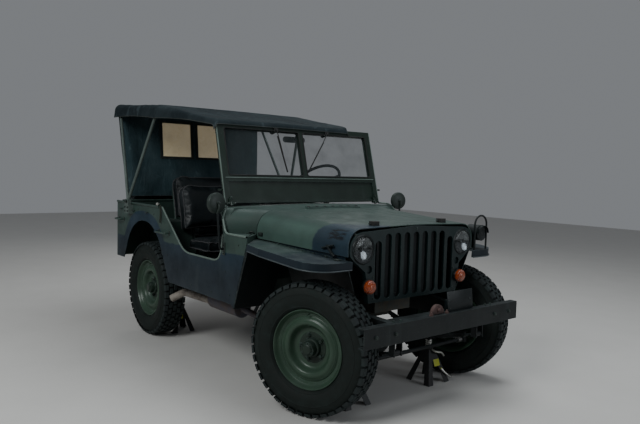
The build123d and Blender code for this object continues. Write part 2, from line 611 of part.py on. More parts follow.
# Rear curtain from the roof down to the tub, with two clear windows
CURTAIN_PLANE = Plane(origin=(-1399, 0, 1080), x_dir=(0, 1, 0), z_dir=(770, 0, 80))
CURTAIN_HEIGHT = math.hypot(770, 80)
WINDOW_LOW = 348
WINDOW_TOP = 664
with BuildPart() as rear_curtain:
    curtain_points = ((-738, 0), (738, 0), (708, CURTAIN_HEIGHT), (-708, CURTAIN_HEIGHT))
    plate(CURTAIN_PLANE, curtain_points, -6, rounded=((2, 60), (3, 60)))
    with BuildSketch(CURTAIN_PLANE) as windows:
        with Locations((175, (WINDOW_LOW + WINDOW_TOP) / 2), (-175, (WINDOW_LOW + WINDOW_TOP) / 2)):
            RectangleRounded(302, WINDOW_TOP - WINDOW_LOW, 10)
    extrude(windows.sketch, amount=20, both=True, mode=Mode.SUBTRACT)
finish(rear_curtain.part, "rear_curtain")

with BuildPart() as curtain_windows:
    with BuildSketch(CURTAIN_PLANE.offset(-5)) as panes:
        with Locations((175, (WINDOW_LOW + WINDOW_TOP) / 2), (-175, (WINDOW_LOW + WINDOW_TOP) / 2)):
            RectangleRounded(302, WINDOW_TOP - WINDOW_LOW, 10)
    extrude(panes.sketch, amount=4)
finish(curtain_windows.part, "curtain_windows")

# Top bows, which make a V from a bracket on each side of the tub
with BuildPart() as top_bows:
    for top in (REAR_BOW_TOP, FRONT_BOW_TOP):
        bent_rod(((BOW_PIVOT[0], -BOW_PIVOT[1], BOW_PIVOT[2]), (top[0], -top[1], top[2]), top,
                  BOW_PIVOT), BOW_RADIUS, 70)
    for side_name, side in SIDES:
        box((-1085, min(side * BODY_Y, side * 804), 960), (-1000, max(side * BODY_Y, side * 804), 1030))
        box((-1075, min(side * 778, side * 804), 1020), (-1010, max(side * 778, side * 804), 1072))
finish(top_bows.part, "top_bows")

# Tyre half section as (radius, distance from the wheel's plane); a wheel section likewise
TYRE_SECTION = ((RIM_SEAT_RADIUS, 36), (219, 56), (224, 68), (236, 79), (262, 88),
                (300, TYRE_HALF_WIDTH), (338, 84), (360, 74), (TYRE_RADIUS, 60))
# Rim and disc from the outer lip round to the hub, outer face first
WHEEL_SECTION = (
    (RIM_LIP_RADIUS, RIM_LIP_Y), (214, RIM_LIP_Y + 4), (206, 53), (197, 38), (180, 30), (158, 46), (140, 48),
    (122, 30), (104, 2), (60, 0), (56, 26), (48, 62), (30, 70), (0, 72), (0, -28), (110, -28), (113, -12),
    (116, -6), (132, 20), (150, 36), (168, 28), (182, 20), (190, -20), (196, -46), (206, -62), (213, -67),
    (RIM_LIP_RADIUS, -RIM_LIP_Y), (216, -57), (202, -42), (202, 38), (216, 57),
)


def wheel_plane(x, y, outward, steer=0):
    """Plane of a wheel: its Z is the axle, pointing out of the car."""
    turn = math.radians(steer)
    axle = (-outward * math.sin(turn), outward * math.cos(turn), 0)
    return Plane(origin=(x, y, AXLE_Z), z_dir=axle, x_dir=(0, 0, 1))


def steered(side):
    """Where a front wheel's centre stands after it turns about its kingpin."""
    turn = math.radians(STEER_REST)
    offset_y = side * (WHEEL_Y - KINGPIN_Y)
    return FRONT_AXLE_X - offset_y * math.sin(turn), side * KINGPIN_Y + offset_y * math.cos(turn)


WHEELS = []
for side_name, side in SIDES:
    x, y = steered(side)
    WHEELS.append(("front_" + side_name, wheel_plane(x, y, side, STEER_REST)))
for side_name, side in SIDES:
    WHEELS.append(("rear_" + side_name, wheel_plane(REAR_AXLE_X, side * WHEEL_Y, side)))
SPARE_PLANE = Plane(origin=(SPARE_REAR_X + TYRE_HALF_WIDTH, SPARE_Y, SPARE_Z), z_dir=(-1, 0, 0),
                    x_dir=(0, 0, 1))
WHEELS.append(("spare", SPARE_PLANE))

for name, plane in WHEELS:
    with BuildPart() as tyre:
        with BuildSketch(Plane.XZ) as section:
            with BuildLine():
                outer = list(TYRE_SECTION) + [(r, -w) for r, w in reversed(TYRE_SECTION)]
                Polyline(*outer, close=True)
            make_face()
        revolve(section.sketch, axis=Axis.Z)
    finish(tyre.part.moved(plane.location), "tyre_" + name)
    with BuildPart() as wheel:
        with BuildSketch(Plane.XZ) as section:
            with BuildLine():
                Polyline(*WHEEL_SECTION, close=True)
            make_face()
        revolve(section.sketch, axis=Axis.Z)
    finish(wheel.part.moved(plane.location), "wheel_" + name)

# Knuckles: steering yoke round the ball end, spindle, back plate and steering arm
for side_name, side in SIDES:
    x, y = steered(side)
    turn = math.radians(STEER_REST)
    out = Vector(-side * math.sin(turn), side * math.cos(turn), 0)
    ahead = Vector(math.cos(turn), math.sin(turn), 0)
    pin = Vector(FRONT_AXLE_X, side * KINGPIN_Y, AXLE_Z)
    with BuildPart() as knuckle:
        rod(tuple(pin + (0, 0, 62)), tuple(pin + (0, 0, 92)), 24)
        rod(tuple(pin - (0, 0, 92)), tuple(pin - (0, 0, 62)), 24)
        plate_start = pin + out * 14
        with Locations(Plane(origin=tuple(plate_start), z_dir=tuple(out), x_dir=(0, 0, 1)).location):
            Cylinder(92, 14, align=(Align.CENTER, Align.CENTER, Align.MIN))
        for lift in (62, -92):
            jaw = Plane(origin=tuple(pin + (0, 0, lift + 15)), z_dir=(0, 0, 1), x_dir=tuple(out))
            with Locations(jaw.location):
                Box(20, 44, 30, align=(Align.MIN, Align.CENTER, Align.CENTER))
        arm_start = pin + (0, 0, -77)
        arm_end = pin + ahead * STEERING_ARM + (0, 0, -77)
        rod(tuple(arm_start), tuple(arm_end), 13)
        rod(tuple(arm_end - (0, 0, 16)), tuple(arm_end + (0, 0, 12)), 16)
    finish(knuckle.part, "knuckle_" + side_name)

# Tie rod ahead of the axle, between the two steering arms
TIE_ROD_Z = AXLE_Z - 77 - 36
with BuildPart() as tie_rod:
    turn = math.radians(STEER_REST)
    end_x = FRONT_AXLE_X + STEERING_ARM * math.cos(turn)
    end_shift = STEERING_ARM * math.sin(turn)
    right_end = (end_x, -KINGPIN_Y + end_shift, TIE_ROD_Z)
    left_end = (end_x, KINGPIN_Y + end_shift, TIE_ROD_Z)
    rod(right_end, left_end, 12)
    for point in (right_end, left_end):
        rod((point[0], point[1], TIE_ROD_Z - 18), (point[0], point[1], TIE_ROD_Z + 18), 19)
finish(tie_rod.part, "tie_rod")

# Axles: tubes, differential to the right of the middle, and on the front one the ball ends
DIFF_Y = -165
# Differential housing: distance ahead of the axle, and radius
DIFF_SECTION = ((-112, 0), (-112, 80), (-66, 106), (44, 108), (90, 92), (112, 44), (112, 0))


def differential(axle_x):
    """Adds the round differential housing to an axle."""
    with BuildSketch(Plane.XY.offset(AXLE_Z)) as housing:
        with BuildLine():
            Polyline(*[(axle_x + ahead, DIFF_Y + radius) for ahead, radius in DIFF_SECTION], close=True)
        make_face()
    revolve(housing.sketch, axis=Axis((axle_x, DIFF_Y, AXLE_Z), (1, 0, 0)))


with BuildPart() as front_axle:
    rod((FRONT_AXLE_X, -480, AXLE_Z), (FRONT_AXLE_X, 480, AXLE_Z), 35)
    for side_name, side in SIDES:
        with BuildSketch(Plane.XY.offset(AXLE_Z)) as ball:
            with BuildLine():
                arc = ThreePointArc((FRONT_AXLE_X + 41.7, side * 544), (FRONT_AXLE_X + 44, side * 530),
                                    (FRONT_AXLE_X + 36, side * 505))
                Polyline(arc @ 1, (FRONT_AXLE_X + 52, side * 497), (FRONT_AXLE_X + 52, side * 470),
                         (FRONT_AXLE_X, side * 470), (FRONT_AXLE_X, side * 557),
                         (FRONT_AXLE_X + 16, side * 557), (FRONT_AXLE_X + 16, side * 544), arc @ 0)
            make_face()
        revolve(ball.sketch, axis=Axis((FRONT_AXLE_X, 0, AXLE_Z), (0, 1, 0)))
        rod((FRONT_AXLE_X, side * KINGPIN_Y, AXLE_Z - 56), (FRONT_AXLE_X, side * KINGPIN_Y, AXLE_Z + 56), 8)
    differential(FRONT_AXLE_X)
    rod((FRONT_AXLE_X - 100, DIFF_Y, AXLE_Z), (FRONT_AXLE_X - 230, DIFF_Y, AXLE_Z + 18), 48)
finish(front_axle.part, "front_axle")

with BuildPart() as rear_axle:
    rod((REAR_AXLE_X, -545, AXLE_Z), (REAR_AXLE_X, 545, AXLE_Z), 35)
    for side_name, side in SIDES:
        rod((REAR_AXLE_X, side * 545, AXLE_Z), (REAR_AXLE_X, side * 565, AXLE_Z), 92)
    differential(REAR_AXLE_X)
    rod((REAR_AXLE_X + 100, DIFF_Y, AXLE_Z), (REAR_AXLE_X + 230, DIFF_Y, AXLE_Z + 18), 48)
finish(rear_axle.part, "rear_axle")

# Leaf springs under the axles with their hangers, spring plates and tubular shock absorbers
# Axle, spring's Y, half span, height of the spring's eyes and of the rail's underside above them
SPRINGS = ((FRONT_AXLE_X, RAIL_OUTER_Y - RAIL_WIDTH / 2, 390, 384, 424), (REAR_AXLE_X, 432, 440, 424, 436))
SPRING_LOW_Z = 297
LEAF = 8
with BuildPart() as suspension:
    for axle_x, spring_y, span, eye_z, hanger_z in SPRINGS:
        for side_name, side in SIDES:
            y = side * spring_y
            for leaf, share in enumerate((1.0, 0.8, 0.6, 0.4)):
                reach = span * share
                rise = (eye_z - SPRING_LOW_Z - 3 * LEAF) * share * share
                base = SPRING_LOW_Z + (3 - leaf) * LEAF
                with BuildSketch(side_plane(y + 22)) as strip:
                    with BuildLine():
                        ends = (axle_x - reach, axle_x + reach)
                        under = ThreePointArc((ends[0], base + rise), (axle_x, base), (ends[1], base + rise))
                        over = ThreePointArc((ends[0], base + rise + LEAF), (axle_x, base + LEAF),
                                             (ends[1], base + rise + LEAF))
                        Line(under @ 0, over @ 0)
                        Line(under @ 1, over @ 1)
                    make_face()
                extrude(strip.sketch, amount=44)
            for end in (-1, 1):
                x = axle_x + end * span
                rod((x, y - 31, eye_z + 4), (x, y + 31, eye_z + 4), 16)
                for cheek in (-1, 1):
                    cheek_y = y + cheek * 27.5
                    box((x - 20, cheek_y - 3.5, eye_z - 14), (x + 20, cheek_y + 3.5, hanger_z + 60))
                if spring_y > RAIL_OUTER_Y:
                    box((x - 18, min(side * RAIL_OUTER_Y, y + side * 31), hanger_z + 36),
                        (x + 18, max(side * RAIL_OUTER_Y, y + side * 31), hanger_z + 60))
            box((axle_x - 60, y - 34, SPRING_LOW_Z - 8), (axle_x + 60, y + 34, SPRING_LOW_Z + 2))
            box((axle_x - 40, y - 26, SPRING_LOW_Z + 4 * LEAF - 1), (axle_x + 40, y + 26, AXLE_Z - 35))
            shock_y = side * (RAIL_OUTER_Y + 18 if spring_y > RAIL_OUTER_Y else spring_y - 47)
            rod((axle_x + 50, shock_y, SPRING_LOW_Z + 8), (axle_x + 120, shock_y, SPRING_LOW_Z + 190), 17)
finish(suspension.part, "suspension")

# Engine as one plain block with its sump, then clutch housing, gearbox, transfer box and shafts
with BuildPart() as powertrain:
    box((700, -150, 500), (1170, 150, 950))
    box((740, -130, 430), (1010, 130, 502))
    rod((702, 0, 560), (590, 0, 560), 150)
    box((460, -100, 410), (592, 100, 545))
    box((330, -100, 400), (462, 100, 512))
    box((140, -290, 390), (334, 90, 512))
    rod((330, DIFF_Y, AXLE_Z + 70), (FRONT_AXLE_X - 234, DIFF_Y, AXLE_Z + 18), 25)
    rod((144, DIFF_Y, AXLE_Z + 70), (REAR_AXLE_X + 234, DIFF_Y, AXLE_Z + 18), 25)
    for side_name, side in SIDES:
        box((960, min(side * 146, side * 330), 560), (1020, max(side * 146, side * 330), 590))
    box((30, -60, 440), (142, 60, 471))
finish(powertrain.part, "powertrain")

# Exhaust along the right side: front pipe, muffler and tail pipe that turns out ahead of the rear wheel
with BuildPart() as exhaust:
    bent_rod(((820, -151, 560), (820, -285, 560), (820, -285, 345), (640, -480, 345), (500, -590, 425),
              (380, -590, 432)), 20, 50)
    rod((400, -590, 435), (40, -590, 435), 62)
    bent_rod(((60, -590, 414), (-407, -598, 406), (-482, -668, 352)), 28, 60)
finish(exhaust.part, "exhaust")

# Axle stands: X and Y of each
STANDS = ((FRONT_AXLE_X + 20, 347), (FRONT_AXLE_X + 20, -347), (REAR_AXLE_X + 36, 432),
          (REAR_AXLE_X + 36, -432))
STAND_FOOT = 98
STAND_TOP = 27
STAND_COLLAR_Z = 205
STAND_SHEET = 4
# Opening in each side, from the floor up, as distance from the middle and height
STAND_OPENING = ((-56, -1), (56, -1), (16, 140), (-16, 140))


def stand_shell(x, y, inset, mode):
    """Adds or cuts a four-sided pyramid that stands on the floor."""
    with BuildSketch(Plane(origin=(x, y, 0))) as foot:
        Rectangle(2 * (STAND_FOOT - inset), 2 * (STAND_FOOT - inset))
    with BuildSketch(Plane(origin=(x, y, STAND_COLLAR_Z - inset))) as top:
        Rectangle(2 * (STAND_TOP - inset), 2 * (STAND_TOP - inset))
    loft((foot.sketch, top.sketch), mode=mode)


with BuildPart() as axle_stands:
    for x, y in STANDS:
        stand_shell(x, y, 0, Mode.ADD)
        stand_shell(x, y, STAND_SHEET, Mode.SUBTRACT)
        for plane in (Plane(origin=(x, y, 0), x_dir=(1, 0, 0), z_dir=(0, -1, 0)),
                      Plane(origin=(x, y, 0), x_dir=(0, 1, 0), z_dir=(1, 0, 0))):
            with BuildSketch(plane) as opening:
                with BuildLine():
                    Polyline(*STAND_OPENING, close=True)
                make_face()
                fillet(opening.vertices().group_by(Axis.Y)[-1], 12)
            extrude(opening.sketch, amount=STAND_FOOT + 2, both=True, mode=Mode.SUBTRACT)
    for x, y in STANDS:
        rod((x, y, 150), (x, y, SPRING_LOW_Z - 18), 19)
        rod((x, y, STAND_COLLAR_Z - 12), (x, y, STAND_COLLAR_Z + 12), 27)
        box((x - 24, y - 40, SPRING_LOW_Z - 20), (x + 24, y + 40, SPRING_LOW_Z - 8))
finish(axle_stands.part, "axle_stands")
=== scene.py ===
"""Looks for the open army 4x4 car: materials, tyres, soft goods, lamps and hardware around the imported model."""
import math

import bmesh
import bpy
from mathutils import Matrix, Vector, noise
from mathutils.bvhtree import BVHTree


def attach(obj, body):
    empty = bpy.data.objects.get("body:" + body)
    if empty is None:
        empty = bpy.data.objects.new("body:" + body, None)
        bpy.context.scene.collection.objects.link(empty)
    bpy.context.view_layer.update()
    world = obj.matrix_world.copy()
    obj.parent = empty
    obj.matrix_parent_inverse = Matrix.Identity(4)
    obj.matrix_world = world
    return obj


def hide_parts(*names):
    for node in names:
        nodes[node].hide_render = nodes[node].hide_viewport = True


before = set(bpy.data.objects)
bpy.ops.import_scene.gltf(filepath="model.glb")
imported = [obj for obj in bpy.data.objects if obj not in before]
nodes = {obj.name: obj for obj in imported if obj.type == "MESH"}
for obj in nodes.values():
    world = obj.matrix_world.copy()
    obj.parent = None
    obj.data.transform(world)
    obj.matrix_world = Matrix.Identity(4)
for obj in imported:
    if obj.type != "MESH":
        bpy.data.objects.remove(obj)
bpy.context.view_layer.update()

SIDES = (("left", 1), ("right", -1))
X, Y, Z = Vector((1, 0, 0)), Vector((0, 1, 0)), Vector((0, 0, 1))


def show(name, data):
    obj = bpy.data.objects.new(name, data)
    bpy.context.scene.collection.objects.link(obj)
    return obj


# Camera, fitted to the photograph

CAMERA_PLACE = (3.777, -2.685, 1.336)
CAMERA_YAW, CAMERA_PITCH, CAMERA_ROLL = (math.radians(a) for a in (141.18, -3.79, 1.51))
FOCAL_PIXELS, PHOTO_WIDTH, SENSOR = 615.8, 640, 36


def aim_camera():
    yaw, pitch, roll = CAMERA_YAW, CAMERA_PITCH, CAMERA_ROLL
    ahead = Vector((math.cos(pitch) * math.cos(yaw), math.cos(pitch) * math.sin(yaw), math.sin(pitch)))
    right = Vector((math.sin(yaw), -math.cos(yaw), 0))
    up = right.cross(ahead)
    right, up = right * math.cos(roll) + up * math.sin(roll), up * math.cos(roll) - right * math.sin(roll)
    data = bpy.data.cameras.new("camera")
    data.sensor_width = SENSOR
    data.lens = FOCAL_PIXELS / PHOTO_WIDTH * SENSOR
    data.clip_end = 60
    camera = show("camera", data)
    camera.matrix_world = Matrix.Translation(CAMERA_PLACE) @ Matrix((right, up, -ahead)).transposed().to_4x4()
    bpy.context.scene.camera = camera


aim_camera()


# Mesh building

def axes(direction, hint=Z):
    """Rotation whose Z is the direction."""
    z = Vector(direction).normalized()
    for start in (Vector(hint), X, Y):
        x = start - start.dot(z) * z
        if x.length >= 1e-4:
            break
    x.normalize()
    return Matrix((x, z.cross(x), z)).transposed().to_4x4()


def at(place, direction=Z, hint=X):
    return Matrix.Translation(place) @ axes(direction, hint)


def polar(radius, degrees):
    a = math.radians(degrees)
    return radius * math.cos(a), radius * math.sin(a)


def smooth_path(points, steps=6):
    """Catmull-Rom line through the points."""
    pts = [Vector(p) for p in points]
    out = []
    for i, (b, c) in enumerate(zip(pts, pts[1:])):
        a = pts[i - 1] if i else b * 2 - c
        d = pts[i + 2] if i + 2 < len(pts) else c * 2 - b
        for k in range(steps):
            t = k / steps
            bend = (2 * a - 5 * b + 4 * c - d) * t * t + (3 * b - a - 3 * c + d) * t ** 3
            out.append(0.5 * (2 * b + (c - a) * t + bend))
    return out + [pts[-1]]


def round_path(points, radius, steps=6, closed=False):
    """The points' straight runs with round corners."""
    pts = [Vector(p) for p in points]
    n = len(pts)
    out = []
    for i, p in enumerate(pts):
        if not closed and i in (0, n - 1):
            out.append(p)
            continue
        a, b = pts[i - 1], pts[(i + 1) % n]
        cut = min(radius, (a - p).length * 0.49, (b - p).length * 0.49)
        start, end = p + (a - p).normalized() * cut, p + (b - p).normalized() * cut
        for k in range(steps + 1):
            t = k / steps
            out.append(start * (1 - t) ** 2 + p * 2 * t * (1 - t) + end * t * t)
    return out


class Piece:
    """Vertices and faces of one object, gathered from simple forms."""

    def __init__(self):
        self.verts, self.faces, self.slots = [], [], []
        self.slot_index = 0

    def add(self, verts, faces, matrix=None):
        base = len(self.verts)
        self.verts += [tuple(matrix @ Vector(v)) if matrix else tuple(v) for v in verts]
        self.faces += [tuple(base + i for i in f) for f in faces]
        self.slots += [self.slot_index] * len(faces)
        return self

    def tube(self, points, radius, sides=10, closed=False, matrix=None):
        pts = [Vector(p) for p in points]
        n = len(pts)
        radii = radius if hasattr(radius, "__len__") else [radius] * n
        verts, faces, normal = [], [], None
        for i, p in enumerate(pts):
            ahead = pts[(i + 1) % n] - p if closed or i + 1 < n else p - pts[i - 1]
            behind = p - pts[i - 1] if closed or i else ahead
            run = (ahead.normalized() + behind.normalized()).normalized()
            if normal is None:
                normal = run.orthogonal().normalized()
            normal = (normal - run * normal.dot(run)).normalized()
            other = run.cross(normal)
            for k in range(sides):
                a = 2 * math.pi * k / sides
                verts.append(p + (normal * math.cos(a) + other * math.sin(a)) * radii[i])
        for i in range(n if closed else n - 1):
            a, b = i * sides, (i + 1) % n * sides
            faces += [(a + k, a + (k + 1) % sides, b + (k + 1) % sides, b + k) for k in range(sides)]
        if not closed:
            faces += [tuple(range(sides))[::-1], tuple(range((n - 1) * sides, n * sides))]
        return self.add(verts, faces, matrix)

    def spin(self, profile, matrix=None, segments=48, arc=360, closed=False):
        """Turns (radius, height) points about Z."""
        count = segments if arc == 360 else segments + 1
        verts, faces, m = [], [], len(profile)
        for i in range(count):
            a = math.radians(arc) * i / segments
            verts += [(r * math.cos(a), r * math.sin(a), h) for r, h in profile]
        for i in range(segments):
            a, b = i * m, (i + 1) % count * m
            for k in range(m if closed else m - 1):
                j = (k + 1) % m
                faces.append((a + k, b + k, b + j, a + j))
        return self.add(verts, faces, matrix)

    def box(self, low, high, bevel=0.002, matrix=None):
        """Block with chamfered edges; its corners may come in any order."""
        low, high = (Vector(map(pick, low, high)) for pick in (min, max))
        mid, half = (low + high) / 2, (high - low) / 2
        bm = bmesh.new()
        bmesh.ops.create_cube(bm, size=2)
        for v in bm.verts:
            v.co = mid + Vector(c * h for c, h in zip(v.co, half))
        bmesh.ops.bevel(bm, geom=bm.edges[:], offset=min(bevel, min(half) * 0.9), segments=2, profile=0.5,
                        affect="EDGES")
        bm.verts.index_update()
        self.add([v.co.copy() for v in bm.verts], [[v.index for v in f.verts] for f in bm.faces], matrix)
        bm.free()
        return self

    def prism(self, outline, height, matrix=None, bevel=0.0015):
        """Flat outline pushed up by a height, with a chamfered top."""
        points = [Vector(p).to_3d() for p in outline]
        n = len(points)
        mid = sum(points, Vector()) / n
        verts = []
        for z, inset in (0, 0), (height - bevel, 0), (height, bevel):
            verts += [v - (v - mid).normalized() * inset + Z * z for v in points]
        faces = []
        for r in range(2):
            for k in range(n):
                j = (k + 1) % n
                faces.append((r * n + k, r * n + j, (r + 1) * n + j, (r + 1) * n + k))
        faces += [tuple(range(2 * n, 3 * n)), tuple(range(n))[::-1]]
        return self.add(verts, faces, matrix)

    def bolt(self, place, direction, size=0.012, stud=0.0):
        """Hexagon head on a washer, size across the head."""
        m = at(place, direction)
        self.spin([(0, 0), (size * 0.72, 0), (size * 0.72, size * 0.12), (0, size * 0.12)], m, 16)
        hexagon = [polar(size * 0.56, 60 * k) for k in range(6)]
        self.prism(hexagon, size * 0.5, m @ Matrix.Translation((0, 0, size * 0.1)), size * 0.08)
        if stud:
            s, top = size * 0.3, size * 0.6 + stud
            self.spin([(s, 0), (s, top - s * 0.3), (s * 0.7, top), (0, top)], m, 10)
        return self

    def screw(self, place, direction, size=0.01):
        """Low round head."""
        r = size / 2
        profile = [(r, 0), (r * 0.98, r * 0.15), (r * 0.8, r * 0.42), (r * 0.4, r * 0.58), (0, r * 0.62)]
        return self.spin(profile, at(place, direction), 12)

    def ring(self, make, place, radius, height, count, phase, *sizes):
        """Bolts or screws on a circle."""
        out = place.to_3x3() @ Z
        for k in range(count):
            x, y = polar(radius, 360 / count * k + phase)
            make(place @ Vector((x, y, height)), out, *sizes)

    def build(self, name, material, body="car", slot=None, sharp=32, smooth=True, replaces=None):
        mesh = bpy.data.meshes.new(name)
        mesh.from_pydata(self.verts, [], self.faces)
        mesh.validate()
        bm = bmesh.new()
        bm.from_mesh(mesh)
        bmesh.ops.recalc_face_normals(bm, faces=bm.faces)
        bm.to_mesh(mesh)
        bm.free()
        materials = material if isinstance(material, tuple) else (material,)
        for m in materials:
            mesh.materials.append(m)
        if len(materials) > 1:
            mesh.polygons.foreach_set("material_index", self.slots)
        if smooth:
            mesh.shade_smooth()
            mesh.set_sharp_from_angle(angle=math.radians(sharp))
        obj = show(name, mesh)
        if body:
            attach(obj, body)
        if replaces:
            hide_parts(replaces)
        return obj


# Materials

class Shader:
    """A node tree with short calls."""

    def __init__(self, name):
        self.material = bpy.data.materials.new(name)
        self.material.use_nodes = True
        self.tree = self.material.node_tree
        self.bsdf = next(n for n in self.tree.nodes if n.type == "BSDF_PRINCIPLED")
        self.point = self.node("ShaderNodeTexCoord").outputs["Object"]

    def node(self, kind, inputs=None, **settings):
        n = self.tree.nodes.new(kind)
        for key, value in settings.items():
            setattr(n, key, value)
        for key, value in (inputs or {}).items():
            self.put(n.inputs[key], value)
        return n

    def put(self, socket, value):
        if isinstance(value, bpy.types.NodeSocket):
            self.tree.links.new(value, socket)
        else:
            socket.default_value = value

    def math(self, operation, *values, clamp=False):
        return self.node("ShaderNodeMath", dict(enumerate(values)), operation=operation, use_clamp=clamp).outputs[0]

    def add(self, a, b, clamp=False):
        return self.math("ADD", a, b, clamp=clamp)

    def sub(self, a, b):
        return self.math("SUBTRACT", a, b)

    def mul(self, a, b, clamp=False):
        return self.math("MULTIPLY", a, b, clamp=clamp)

    def line(self, value, slope, start):
        """value * slope + start"""
        return self.math("MULTIPLY_ADD", value, slope, start)

    def away(self, value, middle):
        return self.math("ABSOLUTE", self.sub(value, middle))

    def noise(self, scale, detail=3.0, rough=0.55, stretch=None, distortion=0.0):
        p = self.point
        if stretch:
            p = self.node("ShaderNodeMapping", {"Vector": p, "Scale": stretch}).outputs[0]
        settings = {"Vector": p, "Scale": scale, "Detail": detail, "Roughness": rough, "Distortion": distortion}
        return self.node("ShaderNodeTexNoise", settings).outputs["Fac"]

    def ramp(self, value, low, high, start=0.0, end=1.0):
        """Smooth step from start to end as value goes from low to high."""
        return self.node("ShaderNodeMapRange", {"Value": value, 1: low, 2: high, 3: start, 4: end},
                         interpolation_type="SMOOTHSTEP").outputs[0]

    def mix(self, factor, a, b, blend="MIX"):
        n = self.node("ShaderNodeMix", {"Factor": factor}, data_type="RGBA", blend_type=blend)
        for socket, value in ((n.inputs[6], a), (n.inputs[7], b)):
            self.put(socket, value if isinstance(value, bpy.types.NodeSocket) else tuple(value)[:3] + (1.0,))
        return n.outputs[2]

    def split(self):
        return tuple(self.node("ShaderNodeSeparateXYZ", {0: self.point}).outputs)

    def edge(self, radius=0.004, samples=6):
        """1 on convex edges, 0 on flat faces."""
        bevel = self.node("ShaderNodeBevel", {"Radius": radius}, samples=samples)
        normal = self.node("ShaderNodeNewGeometry").outputs["Normal"]
        dot = self.node("ShaderNodeVectorMath", {0: bevel.outputs[0], 1: normal}, operation="DOT_PRODUCT")
        return self.sub(1.0, dot.outputs["Value"])

    def up(self):
        """How far a face looks up."""
        normal = self.node("ShaderNodeNewGeometry").outputs["Normal"]
        return self.node("ShaderNodeSeparateXYZ", {0: normal}).outputs[2]

    def bump(self, height, distance, strength=0.5, under=None):
        inputs = {"Height": height, "Distance": distance, "Strength": strength}
        if under is not None:
            inputs["Normal"] = under
        return self.node("ShaderNodeBump", inputs).outputs[0]

    def done(self, color, roughness, normal=None, **constants):
        self.put(self.bsdf.inputs["Base Color"], color)
        self.put(self.bsdf.inputs["Roughness"], roughness)
        if normal is not None:
            self.put(self.bsdf.inputs["Normal"], normal)
        for key, value in constants.items():
            self.bsdf.inputs[key.replace("_", " ")].default_value = value
        return self.material


def shade(color, k):
    return tuple(min(1.0, c * k) for c in color)


OLIVE = (0.033, 0.058, 0.049)
SLATE = (0.0036, 0.0115, 0.0195)
PATCH = (0.016, 0.032, 0.047)
SCRAPE = (0.003, 0.005, 0.008)
DARK = (0.003, 0.0062, 0.007)
WORN = (0.12, 0.17, 0.165)
DUST = (0.05, 0.067, 0.068)
DENT_DEPTH = 0.0168


def paint_finish(s, color, wear=0.6, dust=0.35, rough=(0.34, 0.56)):
    """Old brushed-on paint: cloudy, chipped on its edges, dusty on top."""
    cloud = s.noise(5.5, 5.0, 0.6)
    speck = s.noise(230.0, 2.0, 0.7)
    color = s.mix(s.ramp(cloud, 0.35, 0.7), color, s.mix(0.55, color, (0.5, 0.5, 0.5), "MULTIPLY"))
    streak = s.noise(9.0, 4.0, 0.6, stretch=(1.0, 1.0, 0.12))
    color = s.mix(s.ramp(streak, 0.56, 0.74, 0.0, 0.2), color, DUST)
    chips = s.mul(s.ramp(s.edge(), 0.03, 0.2), s.ramp(s.noise(46.0, 5.0, 0.7), 0.44, 0.6))
    chips = s.mul(chips, wear, clamp=True)
    dirt = s.mul(s.ramp(s.up(), 0.35, 0.98), s.ramp(s.noise(14.0, 6.0, 0.65), 0.35, 0.75, 0.15, 1.0))
    color = s.mix(s.mul(dirt, dust, clamp=True), color, DUST)
    color = s.mix(s.ramp(speck, 0.66, 0.72, 0.0, 0.35), color, WORN)
    color = s.mix(chips, color, WORN)
    roughness = s.add(s.ramp(cloud, 0.3, 0.75, *rough), s.mul(dirt, 0.22), clamp=True)
    normal = s.bump(s.add(s.noise(3.2, 2.0), s.mul(s.noise(38.0, 3.0), 0.05)), DENT_DEPTH, 0.35)
    normal = s.bump(s.noise(420.0, 2.0), 0.0004, 0.22, normal)
    return s.done(color, roughness, normal, Specular_IOR_Level=0.3)


def paint(name, color, *finish, **options):
    return paint_finish(Shader(name), color, *finish, **options)


def side_paint():
    """Olive above, slate below a brushed line and in a band round the wheel arch; the slate is painted lighter
    towards the top, as painted light.
    """
    s = Shader("body_side_paint")
    x, y, z = s.split()
    below = s.sub(s.add(s.line(x, 0.03, 0.803), s.line(s.noise(7.0, 4.0, 0.6), 0.05, -0.025)), z)
    front = s.line(x, 0.863, s.line(z, 0.505, 0.0326))
    rear = s.line(x, -0.8885, s.line(z, 0.4589, -1.3187))
    top = s.sub(z, 0.918)
    arch = s.math("SMOOTH_MAX", s.math("SMOOTH_MAX", front, top, 0.33), rear, 0.33)
    band = s.mul(s.sub(0.078, arch), s.ramp(s.math("ABSOLUTE", y), 0.7, 0.74))
    mask = s.math("MAXIMUM", s.ramp(below, -0.004, 0.006), s.ramp(band, -0.003, 0.004))
    # Painted light: the slate gets lighter with height and darker low down, where it stands in for shade.
    slate_painted_lighter_up = s.mix(s.ramp(z, 0.62, 0.92), SLATE, shade(SLATE, 2.3))
    return paint_finish(s, s.mix(mask, OLIVE, slate_painted_lighter_up), 0.9, 0.3)


def hood_paint():
    """Olive, with a slate repair and dark scrapes on the right front corner; the sides are painted lighter than the
    top, as painted light.
    """
    s = Shader("hood_paint")
    x, y, z = s.split()
    corner = s.sub(s.sub(x, 1.06), s.mul(s.add(y, 0.56), 0.75))
    corner = s.add(corner, s.line(s.noise(9.0, 4.0, 0.6), 0.07, -0.035))
    mask = s.mul(s.ramp(corner, -0.004, 0.01), s.ramp(y, 0.05, -0.12))
    lengths = s.noise(34.0, 3.0, 0.6, stretch=(0.35, 1.0, 2.4))
    spot = s.mul(s.ramp(s.away(x, 1.235), 0.075, 0.045), s.ramp(s.away(z, 0.995), 0.036, 0.018))
    scrape = s.mul(s.mul(spot, s.ramp(lengths, 0.47, 0.53)), s.ramp(y, -0.4, -0.46))
    # Painted light: faces that look sideways get a lighter olive than the top.
    green = s.mix(s.ramp(s.up(), 0.92, 0.55), OLIVE, shade(OLIVE, 1.65))
    return paint_finish(s, s.mix(scrape, s.mix(mask, green, PATCH), SCRAPE), 0.7, 0.14)


